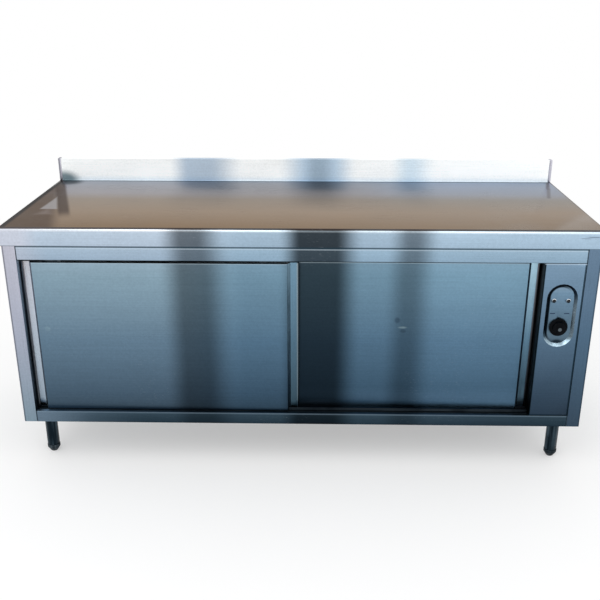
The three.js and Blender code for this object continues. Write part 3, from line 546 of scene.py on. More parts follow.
@dataclass(frozen=True)
class BrushedSheet:
    """Brushed stainless sheet with painted shade and painted reflections (a slow change of tone, streaks and
    marks), grain, smears and scratches.

    Attributes:
        name: The material's name.
        tones: The stops of its change of tone, which is painted shade and painted reflection.
        drift: The axis of the change of tone.
        grain: The axis of the brush lines.
        streaks: The soft streaks of painted reflection.
        fade: Where along the drift axis the streaks start and stand in full.
        marks: Its painted highlights, shades and reflections, and its dark joint lines.
        roughness: The mean roughness.
        wear: How much the brush lines and smears show.
        metallic: How much of it shines as metal; the rest scatters like a dulled skin.
    """

    name: str
    tones: tuple[Tone, ...]
    drift: Axis = Axis.Z
    grain: Axis = Axis.X
    streaks: tuple[Streak, ...] = ()
    fade: tuple[float, float] | None = None
    marks: tuple[Mark, ...] = ()
    roughness: float = 0.32
    wear: float = 1.0
    metallic: float = 1.0

    def build(self) -> bpy.types.Material:
        """Builds the material.

        Returns:
            The finished material.
        """
        desk = Desk(self.name)
        fine = desk.noise(self._stretched(6.0, 900.0), detail=3.0)
        smear = desk.noise((7.0, 7.0, 9.0), detail=4.0)
        colour = self._marked(desk, self._toned(desk))
        colour = desk.mix(1.0, colour, desk.grey(self._grain(desk, fine, smear)), "MULTIPLY")
        scratch = self._scratches(desk)
        colour = desk.mix(desk.math("MULTIPLY", scratch, 0.09 * self.wear), colour, paint(214, 224, 232))
        desk.set("Base Color", colour)
        desk.set("Metallic", self.metallic)
        desk.set("Specular Tint", (0.76, 0.76, 0.76))
        rough = desk.math("ADD", desk.ramp(fine, 0.3, 0.7, -0.05, 0.05, False),
                          desk.ramp(smear, 0.3, 0.7, self.roughness - 0.04, self.roughness + 0.06, False))
        desk.set("Roughness", rough)
        desk.set("Anisotropic", 0.55)
        desk.set("Tangent", desk.tangent(Axis.Y if self.drift is Axis.Y else Axis.Z))
        dish = desk.bump(desk.noise((2.4, 2.4, 2.4), detail=1.0), 0.0012)
        cut = desk.math("SUBTRACT", fine, scratch)
        desk.set("Normal", desk.bump(cut, 0.00006, 0.5, dish))
        return desk.material

    def _stretched(self, along: float, across: float) -> Place:
        """Returns a noise scale that is fine across the grain and long along it."""
        scale = [across, across, across]
        scale[self.grain.value] = along
        return scale[0], scale[1], scale[2]

    def _toned(self, desk: Desk) -> bpy.types.NodeSocket | Colour:
        """Chains the stops of the change of tone.

        Args:
            desk: The material's node builder.

        Returns:
            The toned colour.
        """
        here = desk.along(self.drift)
        colour: bpy.types.NodeSocket | Colour = self.tones[0].colour
        for before, after in zip(self.tones, self.tones[1:]):
            share = desk.ramp(here, before.place, after.place, smooth=False)
            colour = desk.mix(share, colour, after.colour)
        return colour

    def _marked(self, desk: Desk, colour: bpy.types.NodeSocket | Colour) -> bpy.types.NodeSocket | Colour:
        """Lays the streaks and the marks over a colour.

        Args:
            desk: The material's node builder.
            colour: The colour below them.

        Returns:
            The marked colour.
        """
        if self.streaks:
            wander = desk.math("SUBTRACT", desk.noise((1.5, 1.5, 1.8)), 0.5)
            along = desk.math("ADD", desk.along(Axis.X), desk.math("MULTIPLY", wander, 0.016))
            stand: object = 1.0
            if self.fade is not None:
                stand = desk.ramp(desk.along(self.drift), *self.fade)
            for streak in self.streaks:
                weight = desk.math("MULTIPLY", streak.weight(desk, along), stand)
                colour = desk.mix(weight, colour, streak.colour, streak.blend)
        for mark in self.marks:
            colour = desk.mix(mark.weight(desk), colour, mark.colour)
        return colour

    def _grain(self, desk: Desk, fine: bpy.types.NodeSocket,
               smear: bpy.types.NodeSocket) -> bpy.types.NodeSocket:
        """Adds up the brush lines, the smears and the specks as a factor near 1.

        Args:
            desk: The material's node builder.
            fine: The fine brush lines.
            smear: The smears.

        Returns:
            The factor's socket.
        """
        broad = desk.noise(self._stretched(4.0, 240.0), offset=(0.3, 0.1, 0.7))
        speck = desk.noise((170.0, 170.0, 170.0), detail=2.0)
        total = desk.ramp(fine, 0.3, 0.7, -0.05, 0.05, False)
        for layer, share in ((broad, 0.03), (smear, 0.045), (speck, 0.045)):
            total = desk.math("ADD", total, desk.ramp(layer, 0.3, 0.7, -share, share, False))
        return desk.math("ADD", desk.math("MULTIPLY", total, self.wear), 1.0)

    def _scratches(self, desk: Desk) -> bpy.types.NodeSocket:
        """Adds thin scratches near the direction of the grain, in a few worn places.

        Args:
            desk: The material's node builder.

        Returns:
            The scratches from 0 to 1.
        """
        rising = desk.ramp(desk.noise(self._stretched(8.0, 700.0), 0.0, 6.0), 0.76, 0.83)
        falling = desk.ramp(desk.noise(self._stretched(6.0, 600.0), 0.0, -11.0), 0.78, 0.85)
        place = desk.ramp(desk.noise((3.0, 3.0, 3.0), detail=1.0, offset=(1.3, 0.7, 0.3)), 0.52, 0.64)
        return desk.math("MULTIPLY", desk.math("MAXIMUM", rising, falling), place)


@dataclass(frozen=True)
class PlainMetal:
    """Drawn or mill-finish metal: drawing lines, water marks and dulled patches.

    Attributes:
        name: The material's name.
        colour: The metal's colour.
        dull: The colour of its dulled patches.
        roughness: The mean roughness.
        grain: The axis of the drawing lines.
        lines: How many drawing lines a metre holds.
        contrast: How much the drawing lines show.
    """

    name: str
    colour: Colour
    dull: Colour
    roughness: float = 0.38
    grain: Axis = Axis.X
    lines: float = 320.0
    contrast: float = 0.3

    def build(self) -> bpy.types.Material:
        """Builds the material.

        Returns:
            The finished material.
        """
        desk = Desk(self.name)
        scale = [self.lines, self.lines, self.lines]
        scale[self.grain.value] = 3.0
        drawn = desk.noise((scale[0], scale[1], scale[2]), detail=3.0)
        marks = desk.noise((9.0, 9.0, 9.0), detail=5.0)
        spots = desk.ramp(desk.noise((60.0, 60.0, 60.0), detail=2.0), 0.62, 0.7)
        colour = desk.mix(desk.ramp(marks, 0.42, 0.66), self.colour, self.dull)
        colour = desk.mix(desk.ramp(drawn, 0.42, 0.62, 0.0, self.contrast), colour, self.dull)
        colour = desk.mix(desk.math("MULTIPLY", spots, 0.2), colour, self.dull)
        desk.set("Base Color", colour)
        desk.set("Metallic", 1.0)
        desk.set("Specular Tint", (0.76, 0.76, 0.76))
        desk.set("Roughness", desk.ramp(marks, 0.35, 0.7, self.roughness - 0.06, self.roughness + 0.12))
        desk.set("Anisotropic", 0.3)
        desk.set("Normal", desk.bump(drawn, 0.00008, 0.4))
        return desk.material


@dataclass(frozen=True)
class Moulded:
    """Moulded plastic, rubber, nylon or ceramic: fine pits, soft mottling and rubbed patches.

    Attributes:
        name: The material's name.
        colour: The main colour.
        rubbed: The colour where it is rubbed or dusty.
        roughness: The mean roughness.
        pits: How deep the fine pits are, in metres.
        gloss: The strength of its reflections.
        coat: The share of a clear glossy skin.
    """

    name: str
    colour: Colour
    rubbed: Colour
    roughness: float = 0.4
    pits: float = 0.00004
    gloss: float = 0.5
    coat: float = 0.0

    def build(self) -> bpy.types.Material:
        """Builds the material.

        Returns:
            The finished material.
        """
        desk = Desk(self.name)
        dust = desk.noise((90.0, 90.0, 90.0), detail=4.0)
        skin = desk.noise((1600.0, 1600.0, 1600.0), detail=1.0)
        colour = desk.mix(desk.ramp(dust, 0.45, 0.75), self.colour, self.rubbed)
        colour = desk.mix(desk.ramp(skin, 0.55, 0.8, 0.0, 0.2), colour, self.rubbed)
        desk.set("Base Color", colour)
        desk.set("Specular IOR Level", self.gloss)
        desk.set("Coat Weight", self.coat)
        desk.set("Roughness", desk.ramp(dust, 0.3, 0.75, self.roughness - 0.05, self.roughness + 0.12))
        desk.set("Normal", desk.bump(skin, self.pits, 0.5))
        return desk.material


@dataclass(frozen=True)
class PlyBoard:
    """The stiffening board: veneer grain on its faces and plies along its edges.

    Attributes:
        name: The material's name.
        pale: The pale wood.
        dark: The dark wood and the glue lines.
        ply: The thickness of one ply.
    """

    name: str
    pale: Colour
    dark: Colour
    ply: float = 0.003

    def build(self) -> bpy.types.Material:
        """Builds the material.

        Returns:
            The finished material.
        """
        desk = Desk(self.name)
        veneer = desk.noise((3.0, 60.0, 60.0), detail=5.0)
        fibre = desk.noise((20.0, 700.0, 700.0), detail=2.0)
        plies = desk.math("SINE", desk.math("MULTIPLY", desk.along(Axis.Z), math.pi / self.ply))
        colour = desk.mix(desk.ramp(veneer, 0.35, 0.7), self.pale, self.dark)
        colour = desk.mix(desk.ramp(fibre, 0.5, 0.8, 0.0, 0.4), colour, self.dark)
        colour = desk.mix(desk.ramp(plies, 0.55, 0.95, 0.0, 0.35), colour, self.dark)
        desk.set("Base Color", colour)
        desk.set("Roughness", desk.ramp(fibre, 0.3, 0.7, 0.6, 0.85))
        desk.set("Normal", desk.bump(fibre, 0.0002, 0.6))
        return desk.material


@dataclass(frozen=True)
class WoolCore:
    """Mineral wool inside a door: matted fibres in clumps.

    Attributes:
        name: The material's name.
        pale: The fibres' colour.
        deep: The colour between the clumps.
    """

    name: str
    pale: Colour
    deep: Colour

    def build(self) -> bpy.types.Material:
        """Builds the material.

        Returns:
            The finished material.
        """
        desk = Desk(self.name)
        fibres = desk.noise((400.0, 400.0, 60.0), detail=4.0)
        clumps = desk.noise((50.0, 50.0, 50.0), detail=3.0)
        colour = desk.mix(desk.ramp(clumps, 0.4, 0.65), self.pale, self.deep)
        colour = desk.mix(desk.ramp(fibres, 0.5, 0.75, 0.0, 0.5), colour, self.deep)
        desk.set("Base Color", colour)
        desk.set("Roughness", desk.ramp(fibres, 0.3, 0.7, 0.85, 0.98))
        desk.set("Normal", desk.bump(fibres, 0.0012, 0.8))
        return desk.material


@contextmanager
def edit_mode(obj: bpy.types.Object) -> Iterator[None]:
    """Opens one object in edit mode with nothing selected.

    Args:
        obj: The object to edit.

    Yields:
        Nothing: the object is in edit mode meanwhile.
    """
    bpy.ops.object.select_all(action="DESELECT")
    obj.select_set(True)
    bpy.context.view_layer.objects.active = obj
    bpy.ops.object.mode_set(mode="EDIT")
    bpy.ops.mesh.select_mode(type="FACE")
    bpy.ops.mesh.select_all(action="DESELECT")
    yield
    bpy.ops.object.mode_set(mode="OBJECT")


def pick_faces(obj: bpy.types.Object, wanted: Callable[[bmesh.types.BMFace], bool]) -> None:
    """Selects the faces that a test accepts and drops every other.

    Args:
        obj: The object in edit mode.
        wanted: The test of one face.
    """
    mesh = bmesh.from_edit_mesh(obj.data)
    for face in mesh.faces:
        face.select_set(False)
    for face in mesh.faces:
        if wanted(face):
            face.select_set(True)
    bmesh.update_edit_mesh(obj.data)


def pick_vertices(obj: bpy.types.Object, wanted: Callable[[Vector], bool]) -> None:
    """Selects the vertices that a test accepts and drops every other.

    Args:
        obj: The object in edit mode.
        wanted: The test of one vertex's place.
    """
    bpy.ops.mesh.select_all(action="DESELECT")
    bpy.ops.mesh.select_mode(type="VERT")
    mesh = bmesh.from_edit_mesh(obj.data)
    for vertex in mesh.verts:
        vertex.select_set(wanted(vertex.co))
    bmesh.update_edit_mesh(obj.data)


def settle(obj: bpy.types.Object, smooth: float = 40.0) -> bpy.types.Object:
    """Puts an object's place into its mesh, turns its faces out and smooths it.

    Args:
        obj: The object.
        smooth: The angle up to which neighbouring faces blend, in degrees.

    Returns:
        The same object.
    """
    bpy.ops.object.select_all(action="DESELECT")
    obj.select_set(True)
    bpy.context.view_layer.objects.active = obj
    bpy.ops.object.transform_apply(location=True, rotation=True, scale=True)
    with edit_mode(obj):
        bpy.ops.mesh.select_all(action="SELECT")
        bpy.ops.mesh.remove_doubles(threshold=0.000005)
        bpy.ops.mesh.normals_make_consistent(inside=False)
    bpy.ops.object.shade_smooth_by_angle(angle=math.radians(smooth))
    return obj


def add_modifier(obj: bpy.types.Object, kind: str, **settings: object) -> None:
    """Adds a modifier to an object and applies it.

    Args:
        obj: The object.
        kind: The modifier's type.
        **settings: The modifier's settings.
    """
    modifier = obj.modifiers.new(kind.title(), kind)
    for key, value in settings.items():
        setattr(modifier, key, value)
    bpy.ops.object.select_all(action="DESELECT")
    obj.select_set(True)
    bpy.context.view_layer.objects.active = obj
    bpy.ops.object.modifier_apply(modifier=modifier.name)


def copy_to(obj: bpy.types.Object, name: str, shift: Place) -> bpy.types.Object:
    """Copies an object with a mesh of its own.

    Args:
        obj: The object to copy.
        name: The copy's name.
        shift: How far the copy's mesh is moved.

    Returns:
        The copy.
    """
    copy = obj.copy()
    copy.data = obj.data.copy()
    copy.name = name
    bpy.context.scene.collection.objects.link(copy)
    bpy.ops.object.select_all(action="DESELECT")
    copy.select_set(True)
    bpy.context.view_layer.objects.active = copy
    copy.location = shift
    bpy.ops.object.transform_apply(location=True, rotation=False, scale=False)
    return copy


def join(name: str, pieces: list[bpy.types.Object]) -> bpy.types.Object:
    """Joins several objects into one.

    Args:
        name: The joined object's name.
        pieces: The objects.

    Returns:
        The joined object.
    """
    bpy.ops.object.select_all(action="DESELECT")
    for piece in pieces:
        piece.select_set(True)
    bpy.context.view_layer.objects.active = pieces[0]
    bpy.ops.object.join()
    pieces[0].name = name
    return pieces[0]


@dataclass(frozen=True)
class FoldedEdges:
    """Rounds the folded edges of a sheet node with modifiers and leaves its own mesh alone.

    Attributes:
        radius: The radius of the folds, in metres.
        segments: The facets round each fold.
        angle: Edges that bend more than this are folds, in degrees.
    """

    radius: float = 0.0006
    segments: int = 2
    angle: float = 42.0

    def round(self, node: bpy.types.Object) -> None:
        """Adds the rounding to a node.

        Args:
            node: The node's object.
        """
        weld = node.modifiers.new("Weld", "WELD")
        weld.merge_threshold = 0.000002
        flat = node.modifiers.new("Flat", "DECIMATE")
        flat.decimate_type = "DISSOLVE"
        flat.angle_limit = math.radians(0.4)
        flat.delimit = {"MATERIAL"}
        fold = node.modifiers.new("Folds", "BEVEL")
        fold.width = self.radius
        fold.segments = self.segments
        fold.limit_method = "ANGLE"
        fold.angle_limit = math.radians(self.angle)
        fold.harden_normals = True
        fold.use_clamp_overlap = True
        node.data.polygons.foreach_set("use_smooth", [True] * len(node.data.polygons))


@dataclass
class Palette:
    """Every finish of the cabinet, built once.

    Attributes:
        seam: The colour of dark joints and of the painted shade under hems and along the rail's lower edge.
        made: The materials by name.
    """

    seam: Colour = paint(38, 58, 70)
    made: dict[str, bpy.types.Material] = field(default_factory=dict)

    def add(self, *finishes: BrushedSheet | PlainMetal | Moulded | PlyBoard | WoolCore) -> None:
        """Builds some finishes and keeps each under its name."""
        for finish in finishes:
            self.made[finish.name] = finish.build()

    def build(self) -> dict[str, bpy.types.Material]:
        """Builds every finish.

        Returns:
            The materials by name.
        """
        self._build_top()
        self._build_front()
        self._build_doors()
        self._build_grips()
        self._build_control()
        self._build_casing()
        self._build_small()
        return self.made

    def _front_streaks(self, depths: Place, left: tuple[float, float], room: float = 0.0,
                       warm: Colour = (1.0, 1.0, 1.0)) -> tuple[Streak, ...]:
        """Returns the streaks of painted reflection that run down the whole front.

        Args:
            depths: The depths of the left, the middle and the right streak.
            left: The ends of the left streak.
            room: The depth of the wide streak between them.
            warm: The factor on the colour of the left third, a painted reflection that lightens and warms it.

        Returns:
            The streaks, the widest first.
        """
        return (
            Streak(-1.4, -0.28, 0.1, 0.12, 1.0, warm),
            Streak(-0.22, 0.37, 0.05, 0.09, room),
            Streak(*left, 0.04, 0.05, depths[0]),
            Streak(-0.036, 0.148, 0.034, 0.044, depths[1]),
            Streak(0.29, 0.382, 0.036, 0.04, depths[2]),
        )

    def _build_top(self) -> None:
        """Builds the finishes of the worktop's faces."""
        painted_nose_shade = paint(58, 48, 44)
        self.add(
            BrushedSheet(
                "fascia_sheet", (
                    # the upper stops are a painted highlight along the nose
                    Tone(0.744, paint(169, 194, 215)), Tone(0.789, paint(181, 206, 226)),
                    Tone(0.7912, paint(212, 230, 243)), Tone(0.7955, paint(216, 232, 244)),
                ),
                streaks=(
                    # painted reflection streaks, and a pale painted reflection at the left end
                    *self._front_streaks((0.78, 0.95, 0.66), (-0.393, -0.262), 0.13, (1.18, 1.06, 1.02)),
                    Streak(-1.2, -0.81, 0.05, 0.04, 0.6, paint(216, 216, 228), "MIX"),
                ),
                marks=(
                    Patch((0.866, -0.35, 0.781), (0.03, 0.02, 0.0028), 0.6, paint(86, 100, 120)),
                    Patch((0.842, -0.35, 0.777), (0.024, 0.02, 0.002), 0.5, paint(96, 110, 130)),
                    # a painted highlight along the nose, painted shade along its top, a painted shadow under
                    # the hem and painted shade along the left end
                    Line(Axis.Z, 0.7912, 0.7955, 0.12, paint(216, 234, 246)),
                    Line(Axis.Z, 0.7972, 0.81, 0.92, painted_nose_shade),
                    Line(Axis.Z, 0.74, 0.7455, 0.6, self.seam),
                    Patch((-0.9, -0.02, 0.8), (0.03, 0.4, 0.008), 0.9, paint(22, 18, 17)),
                ),
            ),
            BrushedSheet(
                "worktop_sheet", (
                    # browner towards the front and bluer at the back: painted reflection
                    Tone(-0.34, paint(138, 115, 90)), Tone(-0.14, paint(158, 140, 122)),
                    Tone(0.03, paint(156, 145, 134)), Tone(0.12, paint(164, 161, 164)),
                    Tone(0.32, paint(168, 172, 182)),
                ),
                drift=Axis.Y, fade=(-0.18, 0.2),
                streaks=(
                    # painted reflection bands, fading towards the front
                    Streak(0.25, 1.4, 0.14, 0.1, 1.0, (0.89, 1.0, 1.12)),
                    Streak(-0.3, 0.3, 0.12, 0.12, 1.0, (0.86, 0.86, 0.86)),
                    Streak(-0.44, -0.25, 0.05, 0.05, 0.25),
                    Streak(-0.02, 0.125, 0.07, 0.06, 0.52),
                    Streak(0.34, 0.43, 0.05, 0.05, 0.22),
                ),
                marks=(
                    # a dark painted reflection at the left end with a darker painted streak, a painted glint
                    # beside it and a teal painted reflection at the back corner
                    Glint(((-0.93, 0.4), (-0.93, -0.38), (-0.7, -0.38), (-0.86, 0.3)), 0.05, 0.86,
                          paint(84, 66, 52)),
                    Crease((-0.888, 0.28, 0.8), (-0.762, -0.13, 0.8), 0.011, 0.014, 0.12, 0.85,
                           paint(68, 52, 42)),
                    Glint(((-0.838, 0.085), (-0.848, -0.12), (-0.78, -0.12)), 0.011, 0.8,
                          paint(168, 165, 166)),
                    Glint(((-0.82, -0.04), (-0.856, -0.2), (-0.762, -0.2)), 0.035, 0.45,
                          paint(150, 138, 134)),
                    Patch((-0.86, 0.3, 0.8), (0.07, 0.07, 0.05), 0.7, paint(64, 74, 80)),
                    # thin dark painted reflections at the right end
                    Crease((0.888, 0.32, 0.8), (0.864, 0.21, 0.8), 0.002, 0.008, 0.006, 0.8,
                           paint(110, 107, 110)),
                    Crease((0.866, 0.212, 0.8), (0.832, 0.07, 0.8), 0.002, 0.008, 0.006, 0.7,
                           paint(110, 107, 110)),
                    # painted shade along the upstand's foot, along both ends and along the nose's top
                    Line(Axis.Y, 0.314, 0.33, 0.75, paint(84, 98, 108), 0.004),
                    Line(Axis.X, -0.91, -0.889, 0.96, paint(26, 21, 20), 0.012),
                    Line(Axis.X, 0.896, 0.91, 0.6, paint(96, 78, 62), 0.002),
                    Line(Axis.Y, -0.36, -0.3385, 0.9, painted_nose_shade, 0.0015),
                ),
            ),
            BrushedSheet(
                # darker towards its foot, with painted reflection bands and a teal painted reflection at the
                # left end
                "upstand_sheet", (Tone(0.8, paint(228, 241, 250)), Tone(0.82, paint(252, 255, 255))),
                roughness=0.55, metallic=0.12,
                streaks=(
                    Streak(-0.46, -0.28, 0.04, 0.07, 1.0, (0.47, 0.56, 0.67)),
                    Streak(-0.045, 0.15, 0.06, 0.05, 1.0, (0.5, 0.63, 0.77)),
                    Streak(0.015, 0.09, 0.03, 0.03, 0.42, (0.25, 0.3, 0.34)),
                    Streak(0.345, 0.44, 0.04, 0.05, 1.0, (0.68, 0.79, 0.88)),
                ),
                marks=(Patch((-0.885, 0.325, 0.802), (0.075, 0.05, 0.045), 0.85, paint(58, 94, 106)),),
            ),
        )

    def _build_front(self) -> None:
        """Builds the finishes of the posts and rails."""
        joints = tuple(
            Line(Axis.X, *sorted((side.value * 0.8552, side.value * 0.87)), 0.8, paint(26, 40, 50))
            for side in Side
        )
        self.add(
            BrushedSheet(
                # darker towards the bottom, with painted reflection streaks, pale at the left end
                "rail_sheet", (Tone(0.69, paint(142, 170, 192)), Tone(0.74, paint(160, 188, 209))),
                streaks=(
                    *self._front_streaks((0.68, 0.9, 0.62), (-0.385, -0.255), 0.0, (1.2, 1.08, 1.05)),
                    Streak(-1.2, -0.80, 0.05, 0.05, 0.4, paint(200, 200, 212), "MIX"),
                ),
                marks=(
                    # a painted shadow under the fascia's hem, a painted highlight below it and painted shade
                    # along the lower edge; the lines at the posts are dark joints
                    Line(Axis.Z, 0.7392, 0.76, 0.85, self.seam, 0.0012),
                    Line(Axis.Z, 0.7345, 0.737, 0.4, paint(206, 222, 234)),
                    Line(Axis.Z, 0.694, 0.7, 0.3, self.seam),
                    *joints,
                ),
            ),
            BrushedSheet(
                # darker towards the bottom, with painted reflection streaks, lighter at the left end
                "sill_sheet", (
                    Tone(0.15, paint(34, 49, 60)), Tone(0.156, paint(43, 60, 72)),
                    Tone(0.183, paint(54, 72, 84)),
                ),
                streaks=(
                    *self._front_streaks((0.5, 0.76, 0.4), (-0.38, -0.24)),
                    Streak(0.55, 1.4, 0.15, 0.1, 0.14),
                    Streak(-1.4, -0.76, 0.05, 0.1, 0.85, paint(116, 136, 154), "MIX"),
                    Streak(-1.4, -0.62, 0.05, 0.14, 0.4, paint(90, 110, 126), "MIX"),
                ),
                # a painted highlight on the top fold; the lines at the posts are dark joints
                marks=(Line(Axis.Z, 0.184, 0.19, 0.3, paint(128, 148, 164)), *joints),
            ),
            BrushedSheet(
                # the left post painted lit, darker towards the bottom, with painted shade along the outer
                # edge
                "left_post_sheet", (
                    Tone(0.15, paint(128, 149, 163)), Tone(0.465, paint(172, 178, 195)),
                    Tone(0.88, paint(205, 204, 216)),
                ),
                grain=Axis.Z, marks=(Line(Axis.X, -0.91, -0.8945, 0.55, paint(58, 60, 70), 0.002),),
            ),
            BrushedSheet(
                # the right post painted in shade, a darker copy of the left one, with painted shade along the
                # outer edge
                "right_post_sheet", (
                    Tone(0.15, paint(56, 73, 89)), Tone(0.465, paint(82, 108, 131)),
                    Tone(0.88, paint(119, 143, 167)),
                ),
                grain=Axis.Z, marks=(Line(Axis.X, 0.8945, 0.91, 0.5, paint(34, 46, 60), 0.002),),
            ),
            BrushedSheet(
                # painted shade on the posts' faces beside the doors
                "post_throat", (Tone(0.15, paint(90, 108, 122)), Tone(0.7, paint(120, 140, 155))),
                grain=Axis.Z,
            ),
        )

    def _build_doors(self) -> None:
        """Builds the finishes of the doors' faces, with painted reflection darker towards the bottom and
        painted light at the rear one's foot in the sill's shade.
        """
        upper = (
            # darker towards the bottom: painted reflection
            Tone(0.43, paint(90, 122, 147)), Tone(0.64, paint(123, 158, 180)),
            Tone(0.686, paint(134, 168, 190)),
        )
        streaks = self._front_streaks((0.66, 0.87, 0.5), (-0.396, -0.247), 0.16, (1.28, 1.09, 1.0))
        # a painted highlight along each door's top edge
        edge = Line(Axis.Z, 0.6835, 0.69, 0.32, paint(190, 208, 218))
        self.add(
            BrushedSheet(
                "front_door_sheet",
                (Tone(0.191, paint(56, 78, 96)), Tone(0.25, paint(66, 92, 114)), *upper),
                streaks=streaks, roughness=0.36,
                marks=(
                    # a painted highlight beside the left grip and a painted shadow along the door's foot
                    Patch((-0.792, -0.32, 0.47), (0.012, 0.05, 0.012), 0.2, paint(150, 178, 186)),
                    Line(Axis.Z, 0.189, 0.1935, 0.5, paint(14, 22, 30)),
                    edge,
                ),
            ),
            BrushedSheet(
                "rear_door_sheet",
                # painted light at the very foot, against the sill's shade, then darker towards the bottom
                (Tone(0.191, paint(112, 149, 178)), Tone(0.205, paint(92, 125, 151)),
                 Tone(0.228, paint(79, 108, 132)), Tone(0.27, paint(72, 101, 124)), *upper),
                streaks=streaks, roughness=0.36,
                marks=(
                    # painted shade and highlight of a dent, then painted light at the door's foot
                    Patch((0.303, -0.3, 0.498), (0.012, 0.05, 0.014), 0.45, paint(34, 48, 66)),
                    Patch((0.320, -0.3, 0.474), (0.018, 0.05, 0.005), 0.5, paint(130, 152, 160)),
                    Patch((0.322, -0.3, 0.462), (0.014, 0.05, 0.008), 0.35, paint(34, 44, 58)),
                    Patch((0.055, -0.3, 0.196), (0.14, 0.05, 0.028), 0.35, paint(90, 110, 128)),
                    edge,
                ),
            ),
        )

    def _build_grips(self) -> None:
        """Builds the finishes of the doors' sunk grips, their slopes and the beads, in painted lit and shaded
        copies.
        """
        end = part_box("left_door_front")[1][0]
        self.add(
            BrushedSheet(
                # the left door's left grip and slope painted lit, darker towards the bottom
                "pale_grip_sheet", (
                    Tone(0.191, paint(150, 166, 180)), Tone(0.44, paint(195, 207, 220)),
                    Tone(0.64, paint(244, 246, 255)), Tone(0.686, paint(255, 250, 255)),
                ),
                grain=Axis.Z,
            ),
            BrushedSheet(
                "pale_slope_sheet", (Tone(0.191, paint(150, 165, 178)), Tone(0.686, paint(200, 205, 218))),
                grain=Axis.Z,
            ),
            BrushedSheet(
                # the grips at the doors' inner ends painted in shade, darker towards the bottom
                "grip_sheet", (
                    Tone(0.191, paint(58, 79, 91)), Tone(0.44, paint(85, 115, 135)),
                    Tone(0.686, paint(118, 152, 174)),
                ),
                grain=Axis.Z,
            ),
            BrushedSheet(
                # the rear door's right grip: painted light at its foot against the shade there, lighter again
                # towards the top
                "right_grip_sheet", (
                    Tone(0.191, paint(170, 212, 238)), Tone(0.22, paint(120, 156, 180)),
                    Tone(0.28, paint(98, 132, 154)), Tone(0.44, paint(118, 158, 185)),
                    Tone(0.686, paint(181, 217, 235)),
                ),
                grain=Axis.Z,
            ),
            BrushedSheet(
                # the slopes of the other grips painted in shade, darker towards the bottom
                "slope_sheet", (Tone(0.191, paint(75, 99, 119)), Tone(0.686, paint(143, 176, 195))),
                grain=Axis.Z,
            ),
            BrushedSheet(
                # the beads at the doors' outer ends painted in shade
                "end_sheet", (Tone(0.191, paint(88, 92, 96)), Tone(0.686, paint(118, 118, 124))),
                grain=Axis.Z,
            ),
            BrushedSheet(
                # the beads at the doors' inner ends: a painted highlight, with painted shade in the gap at
                # the left door's end
                "bead_sheet", (Tone(0.191, paint(100, 120, 132)), Tone(0.686, paint(156, 174, 184))),
                grain=Axis.Z, roughness=0.24,
                marks=(Line(Axis.X, end - 0.0038, end + 0.002, 0.85, paint(30, 40, 48)),),
            ),
        )

    def _build_control(self) -> None:
        """Builds the finishes of the control panel and its pocket."""
        dark = paint(12, 34, 46)
        self.add(
            BrushedSheet(
                # darker towards the bottom
                "control_sheet", (
                    Tone(0.19, paint(46, 62, 78)), Tone(0.3, paint(62, 82, 101)),
                    Tone(0.44, paint(84, 109, 131)),
                    Tone(0.63, paint(116, 144, 168)), Tone(0.697, paint(127, 155, 179)),
                ),
                roughness=0.36,
                marks=(
                    Line(Axis.X, 0.853, 0.86, 0.85, dark),
                    # a painted shadow in the gap at the left edge
                    Line(Axis.X, 0.72, 0.735, 1.0, paint(4, 12, 16), 0.003),
                    Line(Axis.Z, 0.188, 0.193, 0.75, dark),
                    # a painted highlight along the top
                    Line(Axis.Z, 0.694, 0.7, 0.5, paint(188, 206, 222)),
                ),
            ),
            BrushedSheet(
                # painted light and shade: bright at the bottom, dark at the top, with painted light on the
                # right side
                "pocket_wall", (
                    Tone(0.430, paint(165, 188, 202)), Tone(0.448, paint(150, 172, 186)),
                    Tone(0.462, paint(86, 106, 118)), Tone(0.48, paint(34, 46, 58)),
                    Tone(0.56, paint(30, 44, 56)), Tone(0.633, paint(22, 34, 46)),
                ),
                grain=Axis.Y, wear=4.5, roughness=0.25,
                marks=(Patch((0.842, -0.337, 0.51), (0.02, 0.05, 0.1), 0.9, paint(100, 116, 126)),),
            ),
            BrushedSheet(
                # darker towards the bottom, with painted shade along the wall and the knob's painted shadow
                # below it
                "pocket_floor", (
                    Tone(0.44, paint(60, 78, 92)), Tone(0.456, paint(90, 112, 128)),
                    Tone(0.53, paint(96, 122, 142)), Tone(0.6, paint(116, 146, 170)),
                    Tone(0.63, paint(140, 164, 184)),
                ),
                roughness=0.36,
                marks=(
                    PocketRing(0.7957, 0.4749, 0.5869, 0.0305, 0.004, (-0.75, 0.66), (-0.015, 0.026), 1.0,
                               paint(8, 16, 22)),
                    Patch((0.7957, -0.3317, 0.4425), (0.022, 0.02, 0.009), 0.8, paint(14, 24, 32)),
                ),
            ),
            BrushedSheet(
                # a painted highlight at the top and painted shade at the bottom
                "bezel_chrome", (
                    Tone(0.571, paint(56, 70, 82)), Tone(0.577, paint(120, 136, 148)),
                    Tone(0.582, paint(240, 246, 250)),
                ),
                roughness=0.2,
            ),
        )

    def _build_casing(self) -> None:
        """Builds the finishes of the sides and the back."""
        tones = (
            Tone(0.15, paint(112, 126, 138)), Tone(0.46, paint(140, 154, 166)),
            Tone(0.88, paint(172, 184, 195)),
        )
        joint = Line(Axis.Z, 0.7395, 0.7435, 0.5, self.seam)
        self.add(
            BrushedSheet("casing_sheet", tones, roughness=0.36, marks=(joint,)),
            BrushedSheet("side_sheet", tones, grain=Axis.Z, roughness=0.36, marks=(joint,)),
        )

